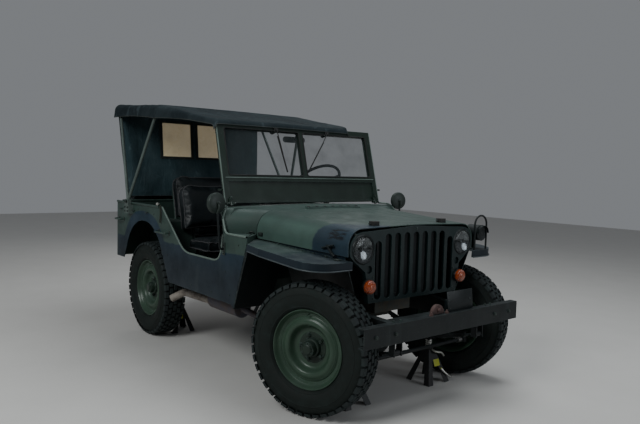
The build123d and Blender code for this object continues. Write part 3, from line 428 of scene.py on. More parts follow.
def fender_paint():
    """Slate on the lip and front, olive and dusty on the rear part of the top, dark below the lip as painted shade.
    """
    s = Shader("fender_paint")
    x, y, z = s.split()
    mask = s.mul(s.ramp(s.up(), 0.6, 0.9), s.ramp(x, 1.12, 0.95))
    mask = s.mul(mask, s.ramp(s.noise(8.0, 4.0), 0.3, 0.6, 0.5, 1.0))
    # Painted shade: everything below a line under the lip is dark.
    inner = s.ramp(s.sub(s.line(x, -0.0617, 0.897), z), 0.0, 0.004)
    color = s.mix(mask, SLATE, shade(OLIVE, 0.9))
    return paint_finish(s, s.mix(inner, color, DARK), 1.0, 0.5)


def rubber(name, color=(0.003, 0.0064, 0.005), dust=0.36):
    s = Shader(name)
    grime = s.noise(22.0, 6.0, 0.65)
    color = s.mix(s.ramp(grime, 0.42, 0.75, 0.0, dust), color, (0.026, 0.038, 0.036))
    rough = s.ramp(grime, 0.3, 0.7, 0.62, 0.86)
    normal = s.bump(s.add(s.noise(620.0, 2.0), s.mul(grime, 2.0)), 0.0005, 0.3)
    return s.done(color, rough, normal, Specular_IOR_Level=0.3)


def metal(name, color, rough, stain, metallic=1.0):
    s = Shader(name)
    cloud = s.noise(24.0, 5.0, 0.65)
    color = s.mix(s.ramp(cloud, 0.4, 0.72), color, stain)
    normal = s.bump(s.noise(300.0, 3.0), 0.0003, 0.3)
    return s.done(color, s.ramp(cloud, 0.3, 0.7, *rough), normal, Metallic=metallic)


def exhaust_paint():
    """Pale rust on the tail pipe, dark heat-stained muffler."""
    s = Shader("exhaust_paint")
    blotch = s.noise(15.0, 5.0, 0.65)
    patches = s.ramp(blotch, 0.4, 0.65)
    pipe = s.mix(patches, (0.24, 0.215, 0.185), (0.12, 0.095, 0.08))
    drum = s.mix(patches, (0.06, 0.058, 0.074), (0.075, 0.058, 0.056))
    height = s.add(blotch, s.mul(s.noise(240.0, 3.0), 0.1))
    color = s.mix(s.ramp(s.split()[0], 0.03, 0.045), pipe, drum)
    return s.done(color, 0.7, s.bump(height, 0.002, 0.4), Metallic=0.2)


def glass(name, color, alpha, rough, **constants):
    s = Shader(name)
    film = s.noise(7.0, 5.0, 0.6)
    color = s.mix(s.ramp(film, 0.35, 0.75), color, shade(color, 0.8))
    s.put(s.bsdf.inputs["Alpha"], s.ramp(film, 0.35, 0.8, alpha, alpha + 0.12))
    return s.done(color, s.ramp(film, 0.3, 0.8, rough, rough + 0.14), s.bump(film, 0.0004, 0.1),
                  Specular_IOR_Level=0.6, **constants)


def weave(name, color, light, scale=1500.0):
    """Cotton duck: fine crossed threads, folds painted lighter as painted highlights, dust."""
    s = Shader(name)
    x, y, z = s.split()
    along, across = (s.math("SINE", s.mul(s.add(v, s.mul(z, slant)), scale)) for v, slant in ((x, 0.7), (y, 0.35)))
    thread = s.line(s.mul(along, across), 0.5, 0.5)
    cloud = s.noise(4.2, 6.0, 0.62)
    crease = s.noise(17.0, 5.0, 0.6, stretch=(1.0, 1.0, 0.35), distortion=0.7)
    color = s.mix(s.ramp(cloud, 0.38, 0.72), color, light)
    color = s.mix(s.mul(thread, 0.3), color, shade(light, 1.2))
    color = s.mix(s.mul(s.ramp(s.edge(0.006, 4), 0.02, 0.2), 0.45), color, shade(light, 1.9))
    # Painted highlight: the fold ridges are painted lighter.
    color = s.mix(s.ramp(crease, 0.58, 0.7, 0.0, 0.45), color, shade(light, 2.2))
    normal = s.bump(thread, 0.0006, 0.45, s.bump(crease, 0.016, 0.5))
    return s.done(color, s.ramp(cloud, 0.3, 0.7, 0.78, 0.93), normal, Specular_IOR_Level=0.03)


def vinyl(name, color=(0.0055, 0.0085, 0.01)):
    """Grained seat covering with soft creases."""
    s = Shader(name)
    grain = s.node("ShaderNodeTexVoronoi", {"Vector": s.point, "Scale": 520.0}).outputs["Distance"]
    crease = s.noise(16.0, 4.0, 0.55, distortion=1.4)
    wear = s.noise(7.0, 4.0)
    color = s.mix(s.ramp(wear, 0.4, 0.75, 0.0, 0.5), color, (0.02, 0.028, 0.032))
    normal = s.bump(grain, 0.0005, 0.4, s.bump(crease, 0.005, 0.25))
    return s.done(color, s.ramp(wear, 0.3, 0.75, 0.42, 0.62), normal, Specular_IOR_Level=0.35)


def lens(name, color):
    """Ribbed coloured lamp glass."""
    s = Shader(name)
    ribs = s.math("SINE", s.mul(s.split()[1], 900.0))
    color = s.mix(s.ramp(s.noise(60.0, 3.0), 0.35, 0.7), color, shade(color, 0.6))
    return s.done(color, 0.12, s.bump(ribs, 0.0008, 0.5), Specular_IOR_Level=0.7, Coat_Weight=0.6)


def wood(name):
    s = Shader(name)
    settings = {"Vector": s.point, "Scale": 60.0, "Distortion": 6.0, "Detail": 3.0}
    rings = s.node("ShaderNodeTexWave", settings).outputs["Fac"]
    return s.done(s.mix(rings, (0.005, 0.006, 0.006), (0.02, 0.019, 0.017)), 0.75, s.bump(rings, 0.0008, 0.4))


# Each paint: colour, wear, dust and the roughness where it differs
olive = paint("olive_paint_old", OLIVE)
# Floor paint: a darker copy of the olive, as painted shade inside the tub.
olive_inside = paint("olive_paint_inside", shade(OLIVE, 0.75), 0.4, 0.5)
dark = paint("dark_paint_old", DARK, 0.35, 0.15)
chassis_black = paint("chassis_black", (0.0065, 0.0085, 0.0092), 0.25, 0.45, (0.5, 0.75))
wheel_green = paint("wheel_green", (0.032, 0.062, 0.04), 0.5, 0.2, (0.28, 0.46))
hub_paint = paint("hub_paint_dark", (0.014, 0.026, 0.018), 0.7, 0.4)
stand_black = paint("stand_black", (0.012, 0.012, 0.013), 0.5, 0.3)
fastener = paint("fastener_paint", (0.022, 0.031, 0.027), 0.6, 0.2)
grille_paint = paint("grille_paint", (0.008, 0.0185, 0.019), 0.5, 0.3)
bow_paint = paint("bow_paint", (0.085, 0.11, 0.1), 0.4, 0.2)
# Windshield frame paint: a darker copy of the olive, as painted shade.
screen_paint = paint("screen_paint", (0.008, 0.0185, 0.0125), 0.8, 0.15)
# Rolled edges, beads and screen posts: worn paint, painted lighter also as a painted highlight.
edge_light = paint("rolled_edge_worn_and_highlight", (0.125, 0.165, 0.145), 0.9, 0.3)
edge_worn = paint("fender_edge_worn", (0.05, 0.062, 0.07), 1.0, 0.3)
label_mat = paint("label_yellow_green", (0.42, 0.45, 0.035), 0.5, 0.2)
side_mat, hood_mat, fender_mat, exhaust_mat = side_paint(), hood_paint(), fender_paint(), exhaust_paint()

tyre_mat = rubber("tyre_rubber_dusty")
tread_mat = rubber("tread_rubber", (0.012, 0.017, 0.0175), 0.6)
# Rubber between the tread blocks is darker: painted shade in the gaps.
gap_mat = rubber("tread_gap_rubber", (0.0022, 0.0024, 0.0024), 0.15)
black_rubber = rubber("black_rubber", (0.012, 0.012, 0.012), 0.25)
bakelite = rubber("bakelite", (0.012, 0.012, 0.012), 0.08)
# Seat piping: light grey, a painted highlight along the pads' edges.
piping_mat = rubber("seat_piping", (0.06, 0.06, 0.064), 0.2)
dial_mat = rubber("dial_face", (0.008, 0.008, 0.009), 0.1)

zinc = metal("dull_zinc", (0.3, 0.3, 0.29), (0.4, 0.6), (0.165, 0.165, 0.1595))
cast = metal("cast_block", (0.045, 0.05, 0.045), (0.55, 0.8), (0.09, 0.075, 0.055), 0.35)
chrome = metal("reflector_chrome", (0.8, 0.8, 0.78), (0.05, 0.16), (0.55, 0.55, 0.52))
reflector_mat = metal("reflector_aged", (0.22, 0.24, 0.25), (0.03, 0.1), (0.022, 0.026, 0.028))
rust_mat = metal("rusty_lug", (0.085, 0.045, 0.04), (0.6, 0.85), (0.045, 0.028, 0.024), 0.1)
pale_knob = metal("pale_metal", (0.62, 0.62, 0.58), (0.3, 0.5), (0.4, 0.4, 0.36))

glass_mat = glass("screen_glass", (0.06, 0.075, 0.078), 0.16, 0.04)
lamp_glass = glass("lamp_glass", (0.05, 0.055, 0.055), 0.1, 0.02)
# Amber clear sheets; their light colour and faint glow are painted light coming through from behind.
window_mat = glass("curtain_clear_sheet", (0.92, 0.78, 0.48), 0.6, 0.22,
                   Emission_Color=(0.95, 0.78, 0.48, 1.0), Emission_Strength=0.07)
orange, red = lens("orange_lens", (0.33, 0.052, 0.008)), lens("red_lens", (0.35, 0.01, 0.008))
block_mat = wood("block_wood_black")

canvas_mat = weave("canvas_weave", (0.0115, 0.0165, 0.0195), (0.026, 0.035, 0.039))
# Rear curtain: the roof's canvas in a lighter copy, as painted light on a face in shade.
curtain_mat = weave("curtain_weave", (0.026, 0.05, 0.058), (0.046, 0.07, 0.078))
binding_mat = weave("binding_tape", (0.02, 0.025, 0.025), (0.045, 0.05, 0.048))
webbing_mat = weave("webbing_olive", (0.014, 0.018, 0.013), (0.03, 0.036, 0.028), 2400.0)
vinyl_mat = vinyl("seat_vinyl_black")

CORNERS = ("front_left", "front_right", "rear_left", "rear_right", "spare")
NODE_MATERIALS = {
    olive: ("cowl", "rear_panel", "seat_frames"),
    side_mat: ("body_side_left", "body_side_right"),
    hood_mat: ("hood",),
    fender_mat: ("fender_left", "fender_right"),
    olive_inside: ("body_floor",),
    grille_paint: ("grille",),
    dark: ("bumpers", "driver_controls", "lamp_housings", "mirrors"),
    chassis_black: ("chassis_frame", "front_axle", "rear_axle", "suspension", "knuckle_left", "knuckle_right",
                    "tie_rod", "radiator"),
    stand_black: ("axle_stands",),
    exhaust_mat: ("exhaust",),
    bow_paint: ("top_bows",),
    screen_paint: ("windshield_frame",),
    cast: ("powertrain",),
    glass_mat: ("windshield_glass",),
    window_mat: ("curtain_windows",),
    chrome: ("lamp_lenses",),
    orange: ("signal_lamps",),
    red: ("tail_lamps",),
    block_mat: ("hood_blocks",),
    bakelite: ("steering_wheel",),
    canvas_mat: ("canvas_roof",),
    curtain_mat: ("rear_curtain",),
    vinyl_mat: ("seat_cushions", "seat_backs"),
    wheel_green: ["wheel_" + corner for corner in CORNERS],
    tyre_mat: ["tyre_" + corner for corner in CORNERS],
}
for material, names in NODE_MATERIALS.items():
    for name in names:
        data = nodes[name].data
        data.materials.clear()
        data.materials.append(material)


# Sheets and pads

def lerp(a, b, t):
    return a + (b - a) * t


def ease(low, high, value):
    t = min(1.0, max(0.0, (value - low) / (high - low)))
    return t * t * (3 - 2 * t)


def wobble(*spot):
    return noise.noise(Vector(spot))


def sheet(name, material, rows, thickness, keep=None, lift=0.0, sharp=60, replaces=None):
    """Closed cloth from a grid of points: the grid is its outer face, and keep says which cells are cloth."""
    n, m = len(rows), len(rows[0])
    outer, inner = [], []
    for i in range(n):
        for j in range(m):
            run = rows[min(i + 1, n - 1)][j] - rows[max(i - 1, 0)][j]
            across = rows[i][min(j + 1, m - 1)] - rows[i][max(j - 1, 0)]
            normal = across.cross(run).normalized()
            outer.append(rows[i][j] + normal * lift)
            inner.append(rows[i][j] + normal * (lift - thickness))
    faces, rim = [], {}
    base = n * m
    for i in range(n - 1):
        for j in range(m - 1):
            if keep and not keep(i, j):
                continue
            loop = (i * m + j, i * m + j + 1, (i + 1) * m + j + 1, (i + 1) * m + j)
            faces += [loop, tuple(base + k for k in reversed(loop))]
            for a, b in zip(loop, loop[1:] + loop[:1]):
                if (b, a) in rim:
                    del rim[(b, a)]
                else:
                    rim[(a, b)] = True
    faces += [(b, a, base + a, base + b) for a, b in rim]
    used = sorted({k for f in faces for k in f})
    place = {k: i for i, k in enumerate(used)}
    verts = outer + inner
    p = Piece().add([verts[k] for k in used], [tuple(place[k] for k in f) for f in faces])
    return p.build(name, material, sharp=sharp, replaces=replaces)


# Roof stations, front to rear: X, half width, top, depth of the hanging side, corner radius
ROOF = (
    (0.16, 0.704, 1.662, 0.036, 0.024),
    (-0.728, 0.72, 1.813, 0.104, 0.056),
    (-1.495, 0.738, 1.862, 0.11, 0.056),
)
ROOF_ROWS, ROOF_COLUMNS = 132, 118
ROOF_FLARE = 0.008
# Thickness of the cloth and of the strips sewn on it; those lie across from X to X, or along at a share of the width
CLOTH, SEAM = 0.0026, 0.0012
CROSS_SEAMS = ((-1.478, -1.44), (-0.748, -0.708), (0.094, 0.128))
LONG_SEAMS = (-0.46, 0.46)
# The left front corner is cut back from CUT_START forward: by so much in width, and by this share of its hang
CUT_START, CUT_WIDTH, CUT_HANG = -0.22, 0.235, 0.62


def roof_point(x, v):
    """A point of the roof: v runs from -1 at the left hem over the top to 1 at the right hem."""
    front = x > ROOF[1][0]
    first, second = ROOF[:2] if front else ROOF[1:]
    t = min(1.0, max(0.0, (first[0] - x) / (first[0] - second[0])))
    half, top, drop, r = (lerp(a, b, t) for a, b in zip(first[1:], second[1:]))
    between = math.sin(math.pi * t) ** 0.8 if 0 < t < 1 else 0.0
    side = 1 if v < 0 else -1
    if front and side > 0:
        cut = ease(CUT_START, ROOF[0][0], x)
        half -= CUT_WIDTH * cut * cut
        drop *= 1 - CUT_HANG * cut
    straight, arc, flat = drop - r, math.pi / 2 * r, half - ROOF_FLARE - r
    s = (1 - abs(v)) * (straight + arc + flat)
    hang = max(0.0, 1 - s / (straight + arc))
    if s < straight:
        y, z = half - ROOF_FLARE * s / max(straight, 1e-4), top - drop + s
    elif s < straight + arc:
        a = (s - straight) / r
        y, z = half - ROOF_FLARE - r + r * math.cos(a), top - r + r * math.sin(a)
    else:
        y, z = half - ROOF_FLARE - r - (s - straight - arc), top
    # The cloth sags and draws in between the bows
    share = 1 - (y / half) ** 2
    sag, pinch = (0.017, 0.009) if front else (0.012, 0.007)
    z -= sag * between * share
    z += 0.004 * (1 - between) * share
    y -= pinch * between * hang
    z += 0.013 * between * hang * min(1.0, drop / 0.06)
    pull = wobble(x * 3.1 + side * 4, y * side * 2.4, hang * 2.0)
    fold = wobble(x * 11.0 - y * side * 6.0, y * 5.0, hang * 3.0 + 7.0)
    fine = wobble(x * 27.0 + y * 14.0, y * 22.0, hang * 6.0 + 3.0)
    ridge = abs(wobble(x * 5.0 + y * side * 9.0, x * 3.0, 11.0))
    move = 0.004 * pull + 0.003 * fold + 0.001 * fine - 0.0036 * ridge + 0.0015
    move *= 0.35 + 0.65 * between
    y += side * move * hang
    z += move * (1 - hang)
    return Vector((x, side * y, z))


def roof_grid(xs, vs):
    return [[roof_point(x, v) for v in vs] for x in xs]


def edges_of(rows):
    return rows[0], rows[-1], [r[0] for r in rows], [r[-1] for r in rows]


def canvas_top():
    vs = [-1 + 2 * k / ROOF_COLUMNS for k in range(ROOF_COLUMNS + 1)]
    xs = [lerp(ROOF[2][0], ROOF[0][0], k / ROOF_ROWS) for k in range(ROOF_ROWS + 1)]
    rows = roof_grid(xs, vs)
    # The front hem turns down over the windshield's top bar
    front = rows[-1]
    for ahead, down in (0.012, 0.0035), (0.021, 0.011), (0.0265, 0.022), (0.03, 0.034):
        rows.append([p + Vector((ahead, 0, -down)) for p in front])
    roof = sheet("canvas_roof_sheet", canvas_mat, rows, CLOTH, replaces="canvas_roof")
    trim = Piece()
    for edge in edges_of(rows):
        trim.tube(edge, 0.0031, 8)
    binding = trim.build("canvas_roof_binding", binding_mat)
    for k, (low, high) in enumerate(CROSS_SEAMS):
        band = roof_grid([lerp(low, high, i / 4) for i in range(5)], vs[2:-2])
        sheet("canvas_seam_%d" % k, canvas_mat, band, SEAM, lift=0.0014)
    for k, middle in enumerate(LONG_SEAMS):
        band = roof_grid(xs[2:], [middle + (i - 2) * 0.006 for i in range(5)])
        sheet("canvas_long_seam_%d" % k, canvas_mat, band, SEAM, lift=0.0013)


CURTAIN_ORIGIN = Vector((-1.399, 0, 1.08))
CURTAIN_UP = Vector((-0.1033, 0, 0.9946))
CURTAIN_AHEAD = Vector((0.9946, 0, 0.1033))
CURTAIN_HEIGHT = 0.774
CURTAIN_HALF = (0.655, 0.712)
CURTAIN_CORNER = 0.06
# Each window, and its mirror image: from and to, across and up
(U0, U1), (V0, V1) = (0.024, 0.326), (0.348, 0.664)
HEM = 0.014
# Half the width within which a share is the distance itself, so that the windows stay square
FLAT_TO = 0.4


def curtain_point(share, v, offset=0.0):
    """share runs from -1 at the right edge to 1 at the left one."""
    half = lerp(*CURTAIN_HALF, v / CURTAIN_HEIGHT)
    over = v - (CURTAIN_HEIGHT - CURTAIN_CORNER)
    if over > 0:
        half -= CURTAIN_CORNER - math.sqrt(max(0.0, CURTAIN_CORNER ** 2 - over * over))
    u = share
    if abs(share) >= FLAT_TO:
        u = math.copysign(lerp(FLAT_TO, half, (abs(share) - FLAT_TO) / (1 - FLAT_TO)), share)
    # Flat round the windows and along the hems, loose folds elsewhere
    away = max(U0 - 0.05 - abs(u), abs(u) - U1, V0 - v, v - V1, 0.0)
    free = ease(0.015, 0.12, away) * ease(0.0, 0.05, v) * ease(CURTAIN_HEIGHT, CURTAIN_HEIGHT - 0.1, v)
    folds = 0.0065 * math.sin(u * 21.0 + 2.0 * wobble(u * 4, v * 3, 1.5) + v * 3.0)
    folds += 0.006 * wobble(u * 9.0, v * 3.5, 4.0) + 0.0018 * wobble(u * 26, v * 19, 8.0)
    w = -0.0045 + free * (folds + 0.0035) + offset
    return CURTAIN_ORIGIN + Y * u + CURTAIN_UP * v + CURTAIN_AHEAD * w


def spaced(*spans):
    """Numbers from (start, end, count) spans that join up."""
    return [lerp(start, end, k / count) for start, end, count in spans for k in range(count)] + [spans[-1][1]]


def curtain():
    half = spaced((0.0, U0, 2), (U0, U1, 20), (U1, FLAT_TO, 6), (FLAT_TO, 1.0, 30))
    shares = [-u for u in reversed(half[1:])] + half
    vs = spaced((0.0, V0, 26), (V0, V1, 22), (V1, CURTAIN_HEIGHT - 0.001, 12))
    rows = [[curtain_point(u, v) for u in shares] for v in vs]

    def solid(i, j):
        u, v = abs(shares[j] + shares[j + 1]) / 2, (vs[i] + vs[i + 1]) / 2
        return not (U0 < u < U1 and V0 < v < V1)

    cloth = sheet("rear_curtain_sheet", curtain_mat, rows, CLOTH, solid, replaces="rear_curtain")
    trim = Piece()
    for edge in edges_of(rows):
        trim.tube([p - CURTAIN_AHEAD * 0.001 for p in edge], 0.003, 8)
    for name, side in SIDES:
        frame_u = [side * lerp(U0 - HEM, U1 + HEM, k / 24) for k in range(25)]
        frame_v = spaced((V0 - HEM, V0 + 0.008, 2), (V0 + 0.008, V1 - 0.008, 20), (V1 - 0.008, V1 + HEM, 2))
        for face, offset in ("out", -0.0022), ("in", 0.0052):
            grid = [[curtain_point(u, v, offset) for u in frame_u] for v in frame_v]
            hem = sheet("curtain_window_hem_%s_%s" % (face, name), binding_mat, grid, 0.0014,
                        lambda i, j: not (2 <= i < 22 and 2 <= j < 22))
    binding = trim.build("rear_curtain_binding", binding_mat)


def pad_start(outline, thickness, matrix, bevel):
    """Block with the outline in its XY plane, bevelled all round, as an object."""
    bm = bmesh.new()
    low, high = ([bm.verts.new((x, y, z)) for x, y in outline] for z in (0, thickness))
    bm.faces.new(low[::-1])
    bm.faces.new(high)
    for k in range(len(outline)):
        j = (k + 1) % len(outline)
        bm.faces.new((low[k], low[j], high[j], high[k]))
    rims = [e for e in bm.edges if abs(e.verts[0].co.z - e.verts[1].co.z) < 1e-6]
    bmesh.ops.bevel(bm, geom=rims, offset=bevel, segments=3, profile=0.5, affect="EDGES", clamp_overlap=True)
    bmesh.ops.transform(bm, matrix=matrix, verts=bm.verts)
    bmesh.ops.recalc_face_normals(bm, faces=bm.faces)
    mesh = bpy.data.meshes.new("pad_start")
    bm.to_mesh(mesh)
    bm.free()
    return show("pad_start", mesh)


def settled(obj):
    depsgraph = bpy.context.evaluated_depsgraph_get()
    depsgraph.update()
    return bpy.data.meshes.new_from_object(obj.evaluated_get(depsgraph))


PAD_VOXEL = 0.0085
PAD_CAP = 0.02
PAD_INSET = 0.007
PRESSURE_STEPS = 20
PIPING, PIPING_CORNER, PIPING_STEP = 0.0038, 0.045, 0.012


def inflate(obj, name, under_cap, under):
    """Remeshes the block, swells it as cloth under pressure, and holds each point near where it was."""
    remesh = obj.modifiers.new("remesh", "REMESH")
    remesh.mode = "VOXEL"
    remesh.voxel_size = PAD_VOXEL
    start = settled(obj)
    obj.modifiers.clear()
    obj.data = start
    first = [(v.co.copy(), v.normal.copy()) for v in start.vertices]
    settings = obj.modifiers.new("cloth", "CLOTH").settings
    settings.quality = 4
    settings.mass = 0.35
    settings.bending_stiffness = 0.12
    settings.use_pressure = True
    settings.uniform_pressure_force = 4.0
    settings.effector_weights.gravity = 0
    for step in range(PRESSURE_STEPS):
        bpy.context.scene.frame_set(step + 1)
    mesh = settled(obj)
    obj.modifiers.clear()
    bpy.context.scene.frame_set(1)
    for v, (was, normal) in zip(mesh.vertices, first):
        move = v.co - was
        limit = under_cap if normal.dot(under) > 0.5 else PAD_CAP
        length = move.length
        if length > 1e-9:
            move *= limit * math.tanh(length / limit) / length
        v.co = was + move
    mesh.name = name
    bpy.data.objects.remove(obj)
    return mesh


def piping_loop(outline, z, matrix):
    """Evenly spaced, rounded loop of points along an outline at one height of the pad."""
    loop = round_path([(x, y, z) for x, y in outline], PIPING_CORNER, 4, closed=True)
    dense = []
    for p, q in zip(loop, loop[1:] + loop[:1]):
        count = max(1, int((q - p).length / PIPING_STEP))
        dense += [matrix @ p.lerp(q, i / count) for i in range(count)]
    return dense


def pad(mesh, places, loops, node, out=0.0012):
    """Places a finished pad once or more, with its piping moved to the nearest places on it."""
    tree = BVHTree.FromPolygons([v.co for v in mesh.vertices], [tuple(f.vertices) for f in mesh.polygons])
    pipes = [[hit[0] + hit[1] * out for hit in map(tree.find_nearest, loop)] for loop in loops]
    for name, y in places:
        copy = mesh.copy()
        copy.transform(Matrix.Translation(Y * y))
        copy.materials.clear()
        copy.materials.append(vinyl_mat)
        copy.shade_smooth()
        obj = show(name, copy)
        smooth = obj.modifiers.new("smooth", "SUBSURF")
        smooth.levels = smooth.render_levels = 1
        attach(obj, "car")
        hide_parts(node)
        p = Piece()
        for points in pipes:
            p.tube([q + Y * y for q in points], PIPING, 8, closed=True)
        p.build(name + "_piping", piping_mat)


def cushion(name, front, back, width, low, high, places):
    """Seat cushion: its outline is its top view."""
    half, crown = width / 2 - PAD_INSET, 0.012
    start, end = back + PAD_INSET, front - PAD_INSET
    outline = [(start, -half), (end, -half), (end, half), (start, half)]
    obj = pad_start(outline, high - low - crown, Matrix.Translation((0, 0, low + 0.001)), 0.022)
    mesh = inflate(obj, name, 0.0015, -Z)
    for v in mesh.vertices:
        share = ease(low, high, v.co.z)
        v.co.z -= 0.014 * share * ease(front - 0.1, back, v.co.x)
        v.co.z += 0.0022 * share * noise.noise(v.co * 16.0) + 0.0012 * share * noise.noise(v.co * 41.0)
    pad(mesh, places, [piping_loop(outline, z, Matrix()) for z in (high - 0.016, low + 0.012)], "seat_cushions")


BACK_LEAN, BACK_DEPTH = 0.21, 0.084


def backrest(name, x, z, width, height, places):
    """Back cushion: its outline is its front view, leaning back."""
    half, r = width / 2 - PAD_INSET, 0.078
    turns = (polar(r, 9 * k) for k in range(11))
    corner = [(half - r + u, height - PAD_INSET - r + v) for u, v in turns]
    outline = [(-half, PAD_INSET), (half, PAD_INSET)] + corner + [(-u, v) for u, v in reversed(corner)]
    lean = math.hypot(1, BACK_LEAN)
    ahead, rise = Vector((1, 0, BACK_LEAN)) / lean, Vector((-BACK_LEAN, 0, 1)) / lean
    place = Matrix((Y, rise, ahead)).transposed().to_4x4()
    place.translation = Vector((x, 0, z)) - ahead * 0.092
    obj = pad_start(outline, BACK_DEPTH, place, 0.024)
    mesh = inflate(obj, name, 0.01, -ahead)
    for v in mesh.vertices:
        v.co += ahead * (0.002 * noise.noise(v.co * 15.0) + 0.001 * noise.noise(v.co * 39.0))
    pad(mesh, places, [piping_loop(outline, t, place) for t in (0.074, 0.01)], "seat_backs")


def seats():
    for name, front, back, width, low, high, places in (
        ("front", -0.06, -0.374, 0.48, 0.738, 0.83, (("driver", 0.365), ("passenger", -0.365))),
        ("rear", -0.64, -0.94, 0.77, 0.788, 0.88, (("back_row", 0),)),
    ):
        places = [("seat_cushion_" + seat, y) for seat, y in places]
        cushion("seat_cushion_" + name, front, back, width, low, high, places)
    for name, x, z, width, height, places in (
        ("front", -0.411, 0.87, 0.48, 0.36, (("driver", 0.365), ("passenger", -0.365))),
        ("rear", -0.977, 0.92, 0.77, 0.368, (("back_row", 0),)),
    ):
        places = [("seat_back_" + seat, y) for seat, y in places]
        backrest("seat_back_" + name, x, z, width, height, places)


seats()
canvas_top()
curtain()


# Wheels and tyres

STEER_DEGREES = 20
STEER_REST = math.radians(STEER_DEGREES)
FRONT_AXLE, REAR_AXLE, AXLE_Z = 1.15, -0.882, 0.37
KINGPIN_Y, KINGPIN_REACH, REAR_TRACK = 0.556, 0.062, 0.618


def wheel_matrix(x, y, side, turn=0.0):
    return at((x, y, AXLE_Z), (-side * math.sin(turn), side * math.cos(turn), 0), Z)


def front_place(side):
    reach = side * KINGPIN_REACH
    return FRONT_AXLE - reach * math.sin(STEER_REST), side * KINGPIN_Y + reach * math.cos(STEER_REST)


WHEELS = [("front_" + n, wheel_matrix(*front_place(s), s, STEER_REST), "front_" + n + "_wheel") for n, s in SIDES]
WHEELS += [("rear_" + n, wheel_matrix(REAR_AXLE, s * REAR_TRACK, s), "rear_" + n + "_wheel") for n, s in SIDES]
WHEELS.append(("spare", at((-1.52, -0.25, 0.905), -X, Z), "car"))

# Turned profiles: radius, height
CARCASS = [
    (0.2035, 0.035), (0.211, 0.047), (0.2195, 0.0565), (0.2245, 0.067), (0.232, 0.0755), (0.236, 0.0792),
    (0.24, 0.079), (0.2425, 0.0803), (0.262, 0.0868), (0.283, 0.0893), (0.301, 0.089), (0.3025, 0.09),
    (0.3065, 0.09), (0.308, 0.0883), (0.322, 0.0858), (0.336, 0.0812), (0.346, 0.076), (0.352, 0.07),
    (0.3555, 0.06), (0.359, 0.04), (0.3605, 0.02), (0.3608, 0.0),
]
CROWN_START = 17
TYRE_SEGMENTS, DISC_SEGMENTS, HUB_SEGMENTS = 96, 72, 48
# Tread rows: distance from the middle, half width, height of the inner and outer edge, and stagger
ROWS = (
    (0.0, 0.0128, 0.3698, 0.3698, 0.5),
    (0.0345, 0.0126, 0.3697, 0.3688, 0.0),
    (0.069, 0.013, 0.3682, 0.363, 0.5),
)
LUG_COUNT = 42
LUG_SHARE = 0.375
TYRE_RADIUS = 0.37
SHOULDER = 0.05


def lug(side, middle, w, half, high, low):
    """Corners of one tread block: its sunk foot, its edge and its chamfered top."""
    step = 2 * math.pi / LUG_COUNT
    verts = []
    for sunk, inset, foot in (0.012, 0.0, w > SHOULDER), (0.0016, 0.0, False), (0.0, 0.0018, False):
        for end, edge in (-1, -1), (-1, 1), (1, 1), (1, -1):
            r = (low if edge > 0 else high) - sunk
            reach = w + edge * (half - inset)
            if foot and edge > 0:
                r -= 0.006
                reach += 0.0035
            a = middle * step + end * (step * LUG_SHARE - inset / TYRE_RADIUS)
            verts.append((r * math.cos(a), r * math.sin(a), side * reach))
    return verts


def tyre_piece(name, matrix, body):
    p = Piece()
    for side in (1, -1):
        p.spin([(r, side * w) for r, w in CARCASS[:CROWN_START + 1]], matrix, TYRE_SEGMENTS)
    crown = CARCASS[CROWN_START:]
    p.slot_index = 2
    p.spin(crown + [(r, -w) for r, w in reversed(crown[:-1])], matrix, TYRE_SEGMENTS)
    p.slot_index = 1
    faces = [(8, 9, 10, 11)]
    faces += [(r + k, r + (k + 1) % 4, r + 4 + (k + 1) % 4, r + 4 + k) for r in (0, 4) for k in range(4)]
    for i in range(LUG_COUNT):
        for w, half, high, low, phase in ROWS:
            for side in (1, -1) if w else (1,):
                p.add(lug(side, i + phase, w, half, high, low), faces, matrix)
    p.build("tread_tyre_" + name, (tyre_mat, tread_mat, gap_mat), body, sharp=30, replaces="tyre_" + name)


DISC = [
    (0.2208, 0.0625), (0.2205, 0.0655), (0.2185, 0.0678), (0.215, 0.0672), (0.211, 0.062), (0.2068, 0.0535),
    (0.202, 0.043), (0.1975, 0.039), (0.1935, 0.0386), (0.192, 0.036), (0.1875, 0.0352), (0.186, 0.0322),
    (0.1805, 0.0312), (0.1775, 0.033), (0.174, 0.0368), (0.1715, 0.037), (0.169, 0.0402), (0.1655, 0.0408),
    (0.16, 0.0452), (0.154, 0.0478), (0.147, 0.049), (0.14, 0.0484), (0.1335, 0.0452), (0.1285, 0.039),
    (0.124, 0.029), (0.119, 0.0165), (0.113, 0.008), (0.106, 0.0042), (0.098, 0.0026), (0.086, 0.0022),
]
HUB = [
    (0.0862, 0.002), (0.084, 0.0045), (0.078, 0.0048), (0.056, 0.0048), (0.054, 0.02), (0.051, 0.025),
    (0.044, 0.027), (0.042, 0.052), (0.039, 0.058), (0.03, 0.06), (0.029, 0.065), (0.024, 0.069),
    (0.0, 0.07),
]
BACK = [
    (0.2208, -0.0625), (0.2185, -0.067), (0.213, -0.0665), (0.206, -0.061), (0.196, -0.045), (0.19, -0.02),
    (0.182, 0.018), (0.168, 0.026), (0.15, 0.034), (0.132, 0.018), (0.116, -0.007), (0.112, -0.014),
    (0.11, -0.027), (0.0, -0.028),
]
RIM_WELL = [
    (0.2208, 0.0625), (0.216, 0.057), (0.2025, 0.042), (0.2022, -0.042), (0.216, -0.057), (0.2208, -0.0625),
]


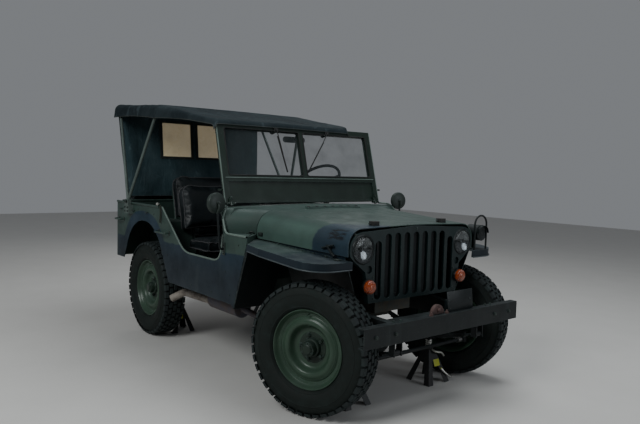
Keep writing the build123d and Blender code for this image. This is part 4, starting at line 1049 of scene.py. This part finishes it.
def wheel_piece(name, matrix, body):
    p = Piece()
    for profile in DISC, BACK, RIM_WELL:
        p.spin(profile, matrix, DISC_SEGMENTS)
    # Valve stem
    p.tube([(0.192, 0.004, 0.037), (0.19, 0.004, 0.05), (0.186, 0.004, 0.062)], [0.004, 0.0036, 0.003], 8,
           matrix=matrix)
    p.slot_index = 1
    p.spin(HUB, matrix, HUB_SEGMENTS)
    # Wheel nuts on their studs, and the hub flange's small bolts
    p.ring(p.bolt, matrix, 0.07, 0.0048, 5, 18, 0.021, 0.006)
    p.ring(p.bolt, matrix, 0.0345, 0.0585, 6, 0, 0.009)
    p.build("disc_wheel_" + name, (wheel_green, hub_paint), body, replaces="wheel_" + name)


for name, matrix, body in WHEELS:
    tyre_piece(name, matrix, body)
    wheel_piece(name, matrix, body)


# Lamps

def turned(name, material, place, profile, segments=40, screws=None, **options):
    """Piece turned from one profile, with an optional circle of screws: radius, height, count, phase, size."""
    p = Piece().spin(profile, place, segments)
    if screws:
        p.ring(p.screw, place, *screws)
    return p.build(name, material, **options)


def lamps():
    for name, side in SIDES:
        place = at((1.3232, side * 0.42, 0.918), X, Z)
        p = Piece()
        p.spin([(0.0, 0.0004), (0.014, 0.0004), (0.016, 0.003), (0.03, 0.0052), (0.048, 0.01), (0.062, 0.0158),
                (0.07, 0.0205)], place, 40)
        p.spin([(0.006, 0.003), (0.0072, 0.009), (0.006, 0.015), (0.0, 0.0175)], place, 14)
        p.build("headlamp_reflector_" + name, reflector_mat, replaces="lamp_lenses")
        turned("headlamp_glass_" + name, lamp_glass, place,
               [(0.0705, 0.02), (0.0705, 0.0222), (0.06, 0.0252), (0.042, 0.0282), (0.022, 0.03), (0.0, 0.0305),
                (0.0, 0.029), (0.022, 0.0285), (0.042, 0.0267), (0.06, 0.0237), (0.069, 0.02)])
        turned("headlamp_rim_" + name, dark, place,
               [(0.07, 0.017), (0.07, 0.0235), (0.0715, 0.0262), (0.0745, 0.027), (0.0775, 0.025),
                (0.079, 0.0215), (0.0828, 0.0205), (0.0828, 0.0188)], 48, (0.0772, 0.024, 3, 90, 0.007))
        # Signal lamp: dark base, rubber ring and ribbed orange dome
        place = at((1.3451, side * 0.384, 0.712), X, Z)
        turned("signal_base_" + name, dark, place,
               [(0.0, 0.0), (0.041, 0.0), (0.0412, 0.01), (0.0395, 0.015), (0.0372, 0.0165), (0.0362, 0.015),
                (0.0, 0.015)], screws=(0.0385, 0.015, 3, 30, 0.005), replaces="signal_lamps")
        turned("signal_dome_" + name, orange, place,
               [(0.0385, 0.014), (0.0385, 0.026), (0.0368, 0.0275), (0.0358, 0.033), (0.0316, 0.0342),
                (0.0306, 0.0395), (0.025, 0.0404), (0.024, 0.0442), (0.016, 0.0448), (0.015, 0.0472),
                (0.0, 0.0478)], sharp=25)
        # Tail lamp: housing, rim and lens
        place = at((-1.3849, side * 0.64, 0.77), -X, Z)
        p = Piece()
        p.spin([(0.0, 0.0), (0.04, 0.0), (0.04, 0.022), (0.0385, 0.025), (0.035, 0.025), (0.0345, 0.021),
                (0.0, 0.021)], place, 40)
        p.bolt((-1.388, side * 0.64, 0.823), -X, 0.009)
        p.build("tail_housing_" + name, dark, replaces="tail_lamps")
        turned("tail_lens_" + name, red, place,
               [(0.0342, 0.02), (0.0342, 0.027), (0.031, 0.031), (0.02, 0.0332), (0.0, 0.0338)])
    # Blackout lamp's hooded front
    place = at((1.3352, 0.622, 0.965), X, Z)
    p = Piece()
    p.spin([(0.0, 0.0), (0.044, 0.0), (0.05, 0.003), (0.0512, 0.006), (0.048, 0.009), (0.043, 0.0075),
            (0.0, 0.006)], place, 40)
    p.ring(p.screw, place, 0.049, 0.0075, 3, 0, 0.007)
    p.spin([(0.047, -0.004), (0.049, 0.026), (0.0472, 0.026), (0.0452, -0.004)],
           place @ Matrix.Rotation(math.radians(-90), 4, "Z"), 24, 180, closed=True)
    p.build("blackout_lamp_front", dark)
    turned("blackout_lamp_glass", lamp_glass, place,
           [(0.03, 0.006), (0.029, 0.0105), (0.015, 0.0125), (0.0, 0.013)], 24)


# Windshield, mirrors and wipers

SCREEN_X, SCREEN_Z, SCREEN_LEAN = 0.255, 1.297, 0.267
SCREEN_AHEAD = Vector((1, 0, SCREEN_LEAN)) / math.hypot(1, SCREEN_LEAN)
SCREEN_FACE = 0.014


def on_screen(y, z, out=0.0):
    """A point on the windshield's plane, so far out ahead of it."""
    return Vector((SCREEN_X + (SCREEN_Z - z) * SCREEN_LEAN, y, z)) + SCREEN_AHEAD * out


def windshield():
    ahead = SCREEN_AHEAD
    p = Piece()
    for side in (1, -1):
        for face in (SCREEN_FACE, -SCREEN_FACE):
            pane = (0.017, 1.294), (0.631, 1.294), (0.631, 1.605), (0.017, 1.605)
            corners = [on_screen(side * y, z, face) for y, z in pane]
            p.tube(round_path(corners, 0.018, 5, closed=True), 0.0042, 8, closed=True)
    p.build("screen_rubbers", black_rubber)
    p = Piece()
    for y in (-0.62, -0.44, -0.26, -0.09, 0.09, 0.26, 0.44, 0.62):
        for z, face, size in (1.281, 1, 0.009), (1.625, 1, 0.008), (1.281, -1, 0.009):
            p.screw(on_screen(y, z, face * SCREEN_FACE), ahead * face, size)
    for z in (1.34, 1.45, 1.56):
        for y in (-0.655, 0.655, 0.0):
            p.screw(on_screen(y, z, SCREEN_FACE), ahead, 0.008)
    for side in (1, -1):
        # Hinge at the foot, the wing nut above it, and bolts up the side
        out, y = (0, side, 0), side * 0.64
        p.box((-0.03, -0.018, 0.0), (0.012, 0.018, 0.012), matrix=at(on_screen(y, 1.13, SCREEN_FACE), ahead, Z))
        p.bolt(on_screen(y, 1.142, 0.025), ahead, 0.014)
        p.tube([on_screen(y, 1.12, 0.018), (0.325, y, 1.112), (0.33, y, 1.1)], [0.009, 0.01, 0.012], 10)
        p.tube([(0.322, side * 0.612, 1.112), (0.322, side * 0.668, 1.112)], 0.01, 14)
        p.bolt((0.322, side * 0.668, 1.112), out, 0.014)
        wing = on_screen(side * 0.683, 1.2)
        p.tube([wing, wing + Y * side * 0.022], 0.006, 10)
        p.box((-0.02, -0.006, 0.02), (0.02, 0.006, 0.026), matrix=at(wing, out, X))
        for z in (1.25, 1.41, 1.57):
            p.bolt(on_screen(side * 0.681, z), out, 0.011)
    p.build("windshield_hardware", screen_paint)
    p = Piece()
    for y in (0.6815, -0.6815):
        p.tube([on_screen(y, 1.118, 0.01), on_screen(y, 1.64, 0.01)], 0.005, 8)
    p.tube([on_screen(-0.66, 1.2765, 0.015), on_screen(0.66, 1.2765, 0.015)], 0.0032, 8)
    p.build("windshield_edges", edge_light)
    p = Piece()
    for y, foot_y in (-0.215, -0.165), (0.245, 0.012):
        hub = on_screen(y, 1.612, 0.016)
        p.tube([hub, hub + ahead * 0.014], 0.01, 14)
        p.box((-0.016, -0.018, 0.0), (0.016, 0.018, 0.009), 0.003, at(hub, ahead, Z))
        low, tip = on_screen(foot_y, 1.315, 0.026), on_screen(lerp(y, foot_y, 0.55), 1.442, 0.03)
        p.tube([hub + ahead * 0.012, hub.lerp(tip, 0.5) + ahead * 0.008, tip], [0.0034, 0.003, 0.0026], 8)
        run = (low - on_screen(y, 1.6, 0.024)).normalized()
        blade = at(tip - ahead * 0.006, run, ahead)
        p.box((-0.003, -0.004, -0.132), (0.004, 0.004, 0.132), 0.001, blade)
        p.box((-0.0075, -0.0011, -0.13), (-0.0025, 0.0011, 0.13), 0.0004, blade)
        p.tube([on_screen(y, 1.612, -0.014), on_screen(y, 1.612, -0.036)], 0.018, 16)
    link = (0.24, 1.625, -0.02), (0.0, 1.63, -0.022), (-0.215, 1.625, -0.02)
    p.tube([on_screen(*spot) for spot in link], 0.0045, 8)
    p.build("wipers", black_rubber)


def mirrors():
    # Inner mirror: a pill on a short stem; its turns start a hair past 0, so that each end gets half of them
    middle = Vector((0.112, 0.004, 1.56))
    face = at(middle, (-1, 0, -0.05), Z)
    turns = (polar(0.022, 15 * k + 0.01) for k in range(24))
    outline = [Vector((u, math.copysign(0.075, v) + v)) for u, v in turns]
    p = Piece().prism(outline, 0.012, face, 0.003)
    p.tube(smooth_path([middle, (0.135, 0.004, 1.59), on_screen(0.0, 1.624, -0.015)]), 0.0048, 8)
    p.build("inner_mirror", dark)
    p = Piece().prism([v * 0.92 for v in outline], 0.0014, face @ Matrix.Translation((0, 0, 0.0116)), 0.0004)
    p.build("inner_mirror_glass", chrome)
    for name, side in SIDES:
        centre = Vector((0.412, side * 0.803, 1.122))
        away = Vector((1, -side * 0.15, 0.05)).normalized()
        p = Piece()
        p.spin([(0.0635, -0.0115), (0.0655, -0.01), (0.0655, 0.006), (0.062, 0.0125), (0.052, 0.017),
                (0.032, 0.0205), (0.012, 0.0215), (0.0, 0.0216)], at(centre, away, Z), 40)
        p.tube([centre + away * 0.018, centre + away * 0.034], 0.011, 12)
        p.bolt(centre + away * 0.033, away, 0.013)
        neck = centre + away * 0.028
        p.tube(round_path([neck, neck + Vector((0.006, 0, -0.03)), (0.428, side * 0.803, 1.06)], 0.012), 0.0075, 10)
        for z in (0.866, 0.816):
            p.bolt((0.452, side * 0.77, z), (0, side, 0), 0.013)
        p.box((0.436, side * 0.765, 0.802), (0.468, side * 0.771, 0.88))
        p.build("mirror_shell_" + name, fastener, slot="olive_paint")
        turned("mirror_glass_" + name, chrome, at(centre - away * 0.0112, -away, Z),
               [(0.0605, 0.0), (0.06, 0.0012), (0.0, 0.0012)])


# Hood and fender hardware

def fender_top(x):
    return 0.898 - (x - 0.714) * 0.0617


def hood_hardware():
    p = Piece()
    for y in (-0.21, -0.14, -0.07, 0.0, 0.07, 0.14, 0.21):
        p.screw((0.592, y, 1.098), Z, 0.008)
        p.tube([(0.574, y - 0.012, 1.101), (0.574, y + 0.012, 1.101)], 0.0062, 12)
    for side in (1, -1):
        # Rear corner catches, and the lifting grip's bolts on the front edge
        y = side * 0.6
        p.box((0.583, y - 0.006, 0.93), (0.625, y + 0.006, 0.95))
        p.screw((0.604, side * 0.606, 0.94), (0, side, 0), 0.008)
        p.bolt((1.28, side * 0.25, 1.051), Z, 0.01)
        p.bolt((1.28, side * 0.32, 1.049), Z, 0.01)
    p.build("hood_fasteners", fastener, "hood", "olive_paint")
    p = Piece()
    for side in (1, -1):
        # T-shaped catch: crossbar, stem and foot plate
        bar = Vector((1.196, side * 0.5475, 0.924))
        ends = [bar + Vector((x, side * y, z)) for x, y, z in ((-0.045, 0.004, -0.01), (0.048, 0.002, 0.012))]
        p.tube(round_path([ends[0], bar, ends[1]], 0.01), 0.0062, 8)
        stem = [bar + Vector((x, side * y, z)) for x, y, z in ((0.036, 0.004, -0.03), (0.062, 0.005, -0.047))]
        p.tube([bar] + stem, [0.007, 0.0075, 0.008], 8)
        p.box((1.174, side * 0.534, 0.914), (1.218, side * 0.545, 0.934))
    p.build("hood_catches", dark, "hood")
    p = Piece()
    for side in (1, -1):
        # Keeper under each catch, spring clip at the hood's rear corner, and fender bolts
        y = side * 0.56
        p.box((1.272, y - 0.016, 0.8625), (1.312, y + 0.016, 0.869))
        clip = (0.52, 0.64, 0.934), (0.545, 0.632, 0.952), (0.556, 0.618, 0.946), (0.552, 0.612, 0.934)
        p.tube(round_path([(x, side * y, z) for x, y, z in clip], 0.01), 0.0045, 8)
        y = side * 0.64
        p.box((0.505, y - 0.012, 0.935), (0.545, y + 0.012, 0.939), 0.001)
        for k in range(6):
            x = 0.78 + 0.105 * k
            p.bolt((x, side * (0.59 - 0.06 * (x - 0.714)), fender_top(x) + 0.0002), Z, 0.01)
        for k in range(4):
            x = 0.585 + 0.04 * k
            p.bolt((x, side * (0.64 + 0.85 * (x - 0.568)), 0.9352), Z, 0.009)
    p.build("fender_fasteners", fastener)
    for name, side in SIDES:
        p = Piece()
        turns = (polar(0.15, 90 - 10 * k) for k in range(10))
        lip = [(0.716, 0.764), (0.86, 0.7805), (1.212, 0.7805)] + [(1.213 + u, 0.6305 + v) for u, v in turns]
        p.tube([(x, side * y, fender_top(x) - 0.042) for x, y in lip + [(1.363, 0.515)]], 0.004, 8)
        p.build("fender_edge_" + name, edge_worn)
        # Rolled edge of the door cut and the bead round the cowl
        p = Piece()
        cut = (-0.47, 1.042), (-0.452, 1.042), (-0.096, 0.755), (0.4, 0.755), (0.434, 0.928)
        p.tube(round_path([(x, side * 0.7635, z) for x, z in cut], 0.085, 8), 0.0062, 10)
        bead = ((0.712, 0.7665, 0.938), (0.47, 0.7665, 0.938), (0.43, 0.7665, 1.04), (0.4, 0.716, 1.098),
                (0.3, 0.7, 1.102))
        p.tube(round_path([(x, side * y, z) for x, y, z in bead], 0.03), 0.0066, 10)
        p.build("rolled_edges_" + name, edge_light)


# Small hardware on the tub, bumper and grille

def body_hardware():
    p = Piece()
    for side in (1, -1):
        out, skin, rail = (0, side, 0), side * 0.765, side * 0.804
        for x, z in ((-1.28, 0.65), (-1.28, 0.98), (-0.6, 0.98), (-0.36, 0.7), (0.02, 0.545), (0.3, 0.545),
                     (0.52, 0.56), (0.47, 0.7), (0.62, 0.88), (-0.9, 1.0), (-0.2, 0.62)):
            p.screw((x, skin, z), out, 0.011)
        # Feet of the grab handles
        for x, z in (-0.505, 0.862), (-0.33, 0.862), (-1.29, 0.9), (-1.19, 0.9):
            p.spin([(0.0175, 0.0), (0.017, 0.003), (0.009, 0.006), (0.0, 0.006)], at((x, skin, z), out), 18)
        # Bolts of the bow's bracket and its wing nut
        for x in (-1.07, -1.015):
            for z in (0.978, 1.008):
                p.bolt((x, rail, z), out, 0.013)
        p.bolt((-1.04, rail, 1.056), out, 0.02, 0.008)
        p.box((-1.062, side * 0.812, 1.05), (-1.018, side * 0.818, 1.062))
        # Hooks under the tub's edge
        for x in (-1.24, -0.98, -0.72):
            hook = (-0.018, 0.766), (-0.018, 0.78), (0.018, 0.78), (0.018, 0.766)
            p.tube(round_path([(x + dx, side * y, 0.985) for dx, y in hook], 0.01, 4), 0.0032, 8)
    for y in (-0.62, -0.48, 0.06, 0.3, 0.62):
        p.bolt((-1.3855, y, 0.61), -X, 0.012)
        p.bolt((-1.3855, y, 1.005), -X, 0.01)
    for y in (-0.15, -0.35):
        for z in (0.83, 0.98):
            p.bolt((-1.4352, y, z), -X, 0.016)
    for y, z in ((-0.34, 0.64), (0.34, 0.64), (-0.34, 0.76), (0.34, 0.76), (-0.48, 1.0), (0.48, 1.0),
                 (0.0, 1.02)):
        p.bolt((1.3452, y, z), X, 0.011)
    for y in (-0.56, -0.42, 0.42, 0.56):
        p.bolt((1.6102, y, 0.513), X, 0.017)
    for y in (-0.36, -0.41, 0.36, 0.41):
        p.bolt((1.58, y, 0.5662), Z, 0.014)
    p.build("body_fasteners", fastener)
    # Bare plate above the bumper, with a rusty lug beside it
    p = Piece()
    tilt = at((1.578, 0.135, 0.567), (1, 0, 0.12), Z)
    p.box((0.0, -0.112, -0.003), (0.112, 0.112, 0.003), 0.003, tilt)
    for y in (-0.095, 0.095):
        for z in (0.018, 0.094):
            p.screw(tilt @ Vector((z, y, 0.003)), tilt.to_3x3() @ Z, 0.009)
    for y in (0.03, 0.215):
        p.box((1.545, y, 0.565), (1.576, y + 0.02, 0.63))
    p.build("front_plate_bare", dark)
    turns = [math.radians(12 * k) for k in range(16)]
    hump = [(0.052 * math.sin(a), 0.05 * math.cos(a)) for a in turns]
    p = Piece().prism(hump, 0.02, at((1.56, -0.06, 0.566), X, Z), 0.003)
    p.bolt((1.5805, -0.06, 0.59), X, 0.018)
    for y in (0.0, -0.13):
        p.bolt((1.59, y, 0.5665), Z, 0.018, 0.008)
    p.build("front_lug", rust_mat)
    # Webbing strap at the door cut with a pale knob
    for name, side in SIDES:
        rows = []
        for k in range(12):
            x, y, z = -0.462 + 0.003 * math.sin(k * 0.6), 0.777 + 0.002 * math.sin(k * 0.7), 1.06 - 0.012 * k
            rows.append([Vector((x + side * w, side * y, z)) for w in (-0.01, 0.0, 0.01)])
        strap = sheet("safety_strap_" + name, webbing_mat, rows, 0.0022, sharp=32)
        turned("strap_knob_" + name, pale_knob, at((-0.505, side * 0.77, 1.06), (0, side, 0.4)),
               [(0.0, 0.0), (0.01, 0.001), (0.013, 0.008), (0.011, 0.016), (0.004, 0.02), (0.0, 0.0205)], 18)


# Stands, springs and steering parts

FRONT_SPRING, REAR_SPRING = 0.347, 0.432


def underside():
    p = Piece()
    reach = 0.043
    for axle_x, spring_y in (FRONT_AXLE, FRONT_SPRING), (REAR_AXLE, REAR_SPRING):
        for y in (side * spring_y + dy for side in (1, -1) for dy in (-0.027, 0.027)):
            for x in (axle_x - reach, axle_x + reach):
                p.bolt((x, y, 0.289), -Z, 0.017, 0.01)
            arch = [(axle_x + u, y, AXLE_Z + v) for u, v in (polar(reach, a) for a in range(0, 181, 15))]
            p.tube([(axle_x + reach, y, 0.286)] + arch + [(axle_x - reach, y, 0.286)], 0.0058, 8)
    # Cover bolts of the differentials
    for axle_x in (FRONT_AXLE, REAR_AXLE):
        for k in range(10):
            y, z = polar(0.107, 36 * k)
            p.bolt((axle_x - 0.03, y - 0.165, z + AXLE_Z), X, 0.012)
    p.build("spring_bolts", chassis_black)
    bar, label, handle = Piece(), Piece(), Piece()
    # Sloping side of a stand: out by 71 for 205 up
    slope = Vector((0.205, 0, 0.071)).normalized()
    for x, spring_y in (1.17, FRONT_SPRING), (-0.846, REAR_SPRING):
        for side in (1, -1):
            y = side * spring_y
            for k in range(4):
                bar.spin([(0.0192, 0.0), (0.0215, 0.004), (0.0215, 0.007), (0.0192, 0.011)],
                         at((x, y, 0.22 + 0.013 * k), Z), 16)
            lever = (0.03, 0.0, 0.205), (0.055, 0.0, 0.2), (0.06, 0.06, 0.186), (0.056, 0.085, 0.16)
            bar.tube(round_path([(x + a, y + side * b, z) for a, b, z in lever], 0.016, 5), 0.0065, 8)
            spot = Vector((x + 0.098 - 0.071 * 0.6, y + side * 0.018, 0.205 * 0.6))
            label.box((-0.02, -0.026, 0.0003), (0.024, 0.026, 0.0016), 0.0005, at(spot, slope, Z))
            low = Vector((x + 0.088, y + side * 0.062, 0.062))
            grip = (-0.006, -0.03, 0.03), (0, 0, 0), (0.006, 0.04, -0.03), (0.006, 0.058, -0.04)
            handle.tube(smooth_path([low + Vector((a, side * b, c)) for a, b, c in grip]), 0.0075, 10)
    bar.build("stand_ratchets", pale_knob, slot="grey_paint")
    label.build("stand_labels_bare", label_mat)
    handle.build("stand_handles", chrome)
    p = Piece()
    u, v = polar(0.115, STEER_DEGREES)
    for side in (1, -1):
        end = Vector((FRONT_AXLE + u, side * KINGPIN_Y + v, 0.257))
        p.tube([end - Y * side * 0.04, end - Y * side * 0.075], 0.0175, 12)
        p.bolt(end - Vector((0, side * 0.055, -0.0165)), Z, 0.012)
    p.build("tie_rod_clamps", zinc, "tie_rod")


# Dashboard, controls and engine bay

DASH_X = 0.4392


def inside():
    p, faces = Piece(), Piece()
    for y, z, r in ((0.06, 1.012, 0.048), (-0.045, 1.045, 0.026), (-0.045, 0.98, 0.026), (0.165, 1.045, 0.026),
                    (0.165, 0.98, 0.026)):
        place = at((DASH_X, y, z), -X, Z)
        p.spin([(r + 0.005, 0.0), (r + 0.005, 0.005), (r + 0.001, 0.009), (r - 0.003, 0.007), (r - 0.003, 0.002)],
               place, 32)
        faces.spin([(r - 0.003, 0.0035), (0.0, 0.0035)], place, 24)
        faces.tube([place @ Vector((0, 0, 0.0045)), place @ Vector((r * 0.55, r * 0.35, 0.0045))], 0.0012, 6)
    for k in range(5):
        y = -0.02 + 0.045 * k
        p.tube([(DASH_X, y, 0.96), (DASH_X - 0.014, y, 0.96)], 0.004, 8)
        p.spin([(0.009, 0.012), (0.01, 0.016), (0.008, 0.021), (0.0, 0.022)], at((DASH_X, y, 0.96), -X, Z), 14)
    p.box((0.433, -0.62, 0.975), (DASH_X, -0.3, 1.06), 0.003)
    p.tube([(0.428, -0.48, 1.045), (0.428, -0.44, 1.045)], 0.005, 8)
    p.build("dash_instruments", dark)
    faces.build("dash_dials", dial_mat)
    turned("horn_button", bakelite, at((-0.04, 0.335, 1.233), (-1, 0, 1), Y),
           [(0.0345, 0.014), (0.0345, 0.0215), (0.03, 0.024), (0.025, 0.023), (0.024, 0.027),
            (0.012, 0.03), (0.0, 0.0305)], 30, body="steering_wheel")
    # Knobs of the gear levers and pads of the pedals
    p = Piece()
    for start, tip, r in (((0.12, 0.02, 0.88), (0.108, 0.02, 0.898), 0.019),
                          ((0.13, -0.05, 0.8), (0.122, -0.05, 0.812), 0.015),
                          ((0.13, -0.095, 0.76), (0.122, -0.095, 0.772), 0.015)):
        p.spin([(0.0, -0.006), (r * 0.7, -0.004), (r, r * 0.6), (r * 0.8, r * 1.3), (0.0, r * 1.6)],
               at(start, Vector(tip) - Vector(start)), 18)
    for y in (0.255, 0.42):
        p.box((0.3405, y - 0.034, 0.65), (0.3475, y + 0.034, 0.706))
        for k in range(5):
            z = 0.66 + 0.009 * k
            p.box((0.3375, y - 0.03, z), (0.341, y + 0.03, z + 0.004), 0.001)
    p.build("knobs_and_pedal_pads", black_rubber)
    # Rocker cover, air cleaner and hoses on the plain block
    p = Piece()
    p.box((0.745, -0.085, 0.945), (1.125, 0.085, 0.985), 0.01)
    for x in (0.8, 0.93, 1.07):
        p.bolt((x, 0.0, 0.985), Z, 0.016, 0.006)
    p.spin([(0.0, 0.0), (0.085, 0.0), (0.09, 0.012), (0.09, 0.075), (0.08, 0.09), (0.0, 0.094)],
           at((0.83, -0.235, 0.9)), 32)
    p.tube(smooth_path([(1.12, 0.06, 0.93), (1.16, 0.075, 0.96), (1.2, 0.08, 0.985), (1.222, 0.08, 0.99)]),
           0.02, 12)
    p.tube(smooth_path([(0.83, -0.15, 0.95), (0.85, -0.11, 0.975), (0.9, -0.1, 0.98)]), 0.024, 12)
    p.build("engine_top", cast)


lamps()
windshield()
mirrors()
hood_hardware()
body_hardware()
underside()
inside()


# Studio: pale floor and soft lights

FLOOR_HALF, FLOOR_Z = 14, -0.0005
LIGHT_AIM = 0.7
SKY_COLOR, SKY_STRENGTH = (0.86, 0.9, 0.95, 1), 0.23
# Name, place, size, power and colour
LIGHTS = (
    ("key", (1.6, -5.2, 4.4), 2.6, 210, (0.97, 1.0, 1.0)),
    ("fill", (5.5, 2.2, 2.2), 2.6, 55, (0.88, 0.94, 1.0)),
    ("top", (0.4, 1.0, 5.2), 3.2, 140, (0.93, 0.98, 1.0)),
    ("back", (-4.8, 3.4, 3.4), 3.0, 40, (1.0, 0.98, 0.95)),
)


def studio():
    s = Shader("floor_pale")
    grain = s.noise(3.0, 4.0)
    pale = s.done(s.mix(grain, (0.5, 0.49, 0.47), (0.56, 0.55, 0.53)), 0.75)
    corners = [(FLOOR_HALF * x, FLOOR_HALF * y, 0) for x, y in ((-1, -1), (1, -1), (1, 1), (-1, 1))]
    floor = Piece().add(corners, [(0, 1, 2, 3)]).build("floor", pale, None, smooth=False)
    floor.location.z = FLOOR_Z
    world = bpy.data.worlds.new("studio")
    bpy.context.scene.world = world
    world.use_nodes = True
    sky = world.node_tree.nodes["Background"]
    sky.inputs[0].default_value = SKY_COLOR
    sky.inputs[1].default_value = SKY_STRENGTH
    for name, place, size, power, color in LIGHTS:
        light = bpy.data.lights.new(name, "AREA")
        light.shape = "DISK"
        light.size = size
        light.energy = power
        light.color = color
        show(name, light).matrix_world = at(place, Vector(place) - Z * LIGHT_AIM, Z)


studio()
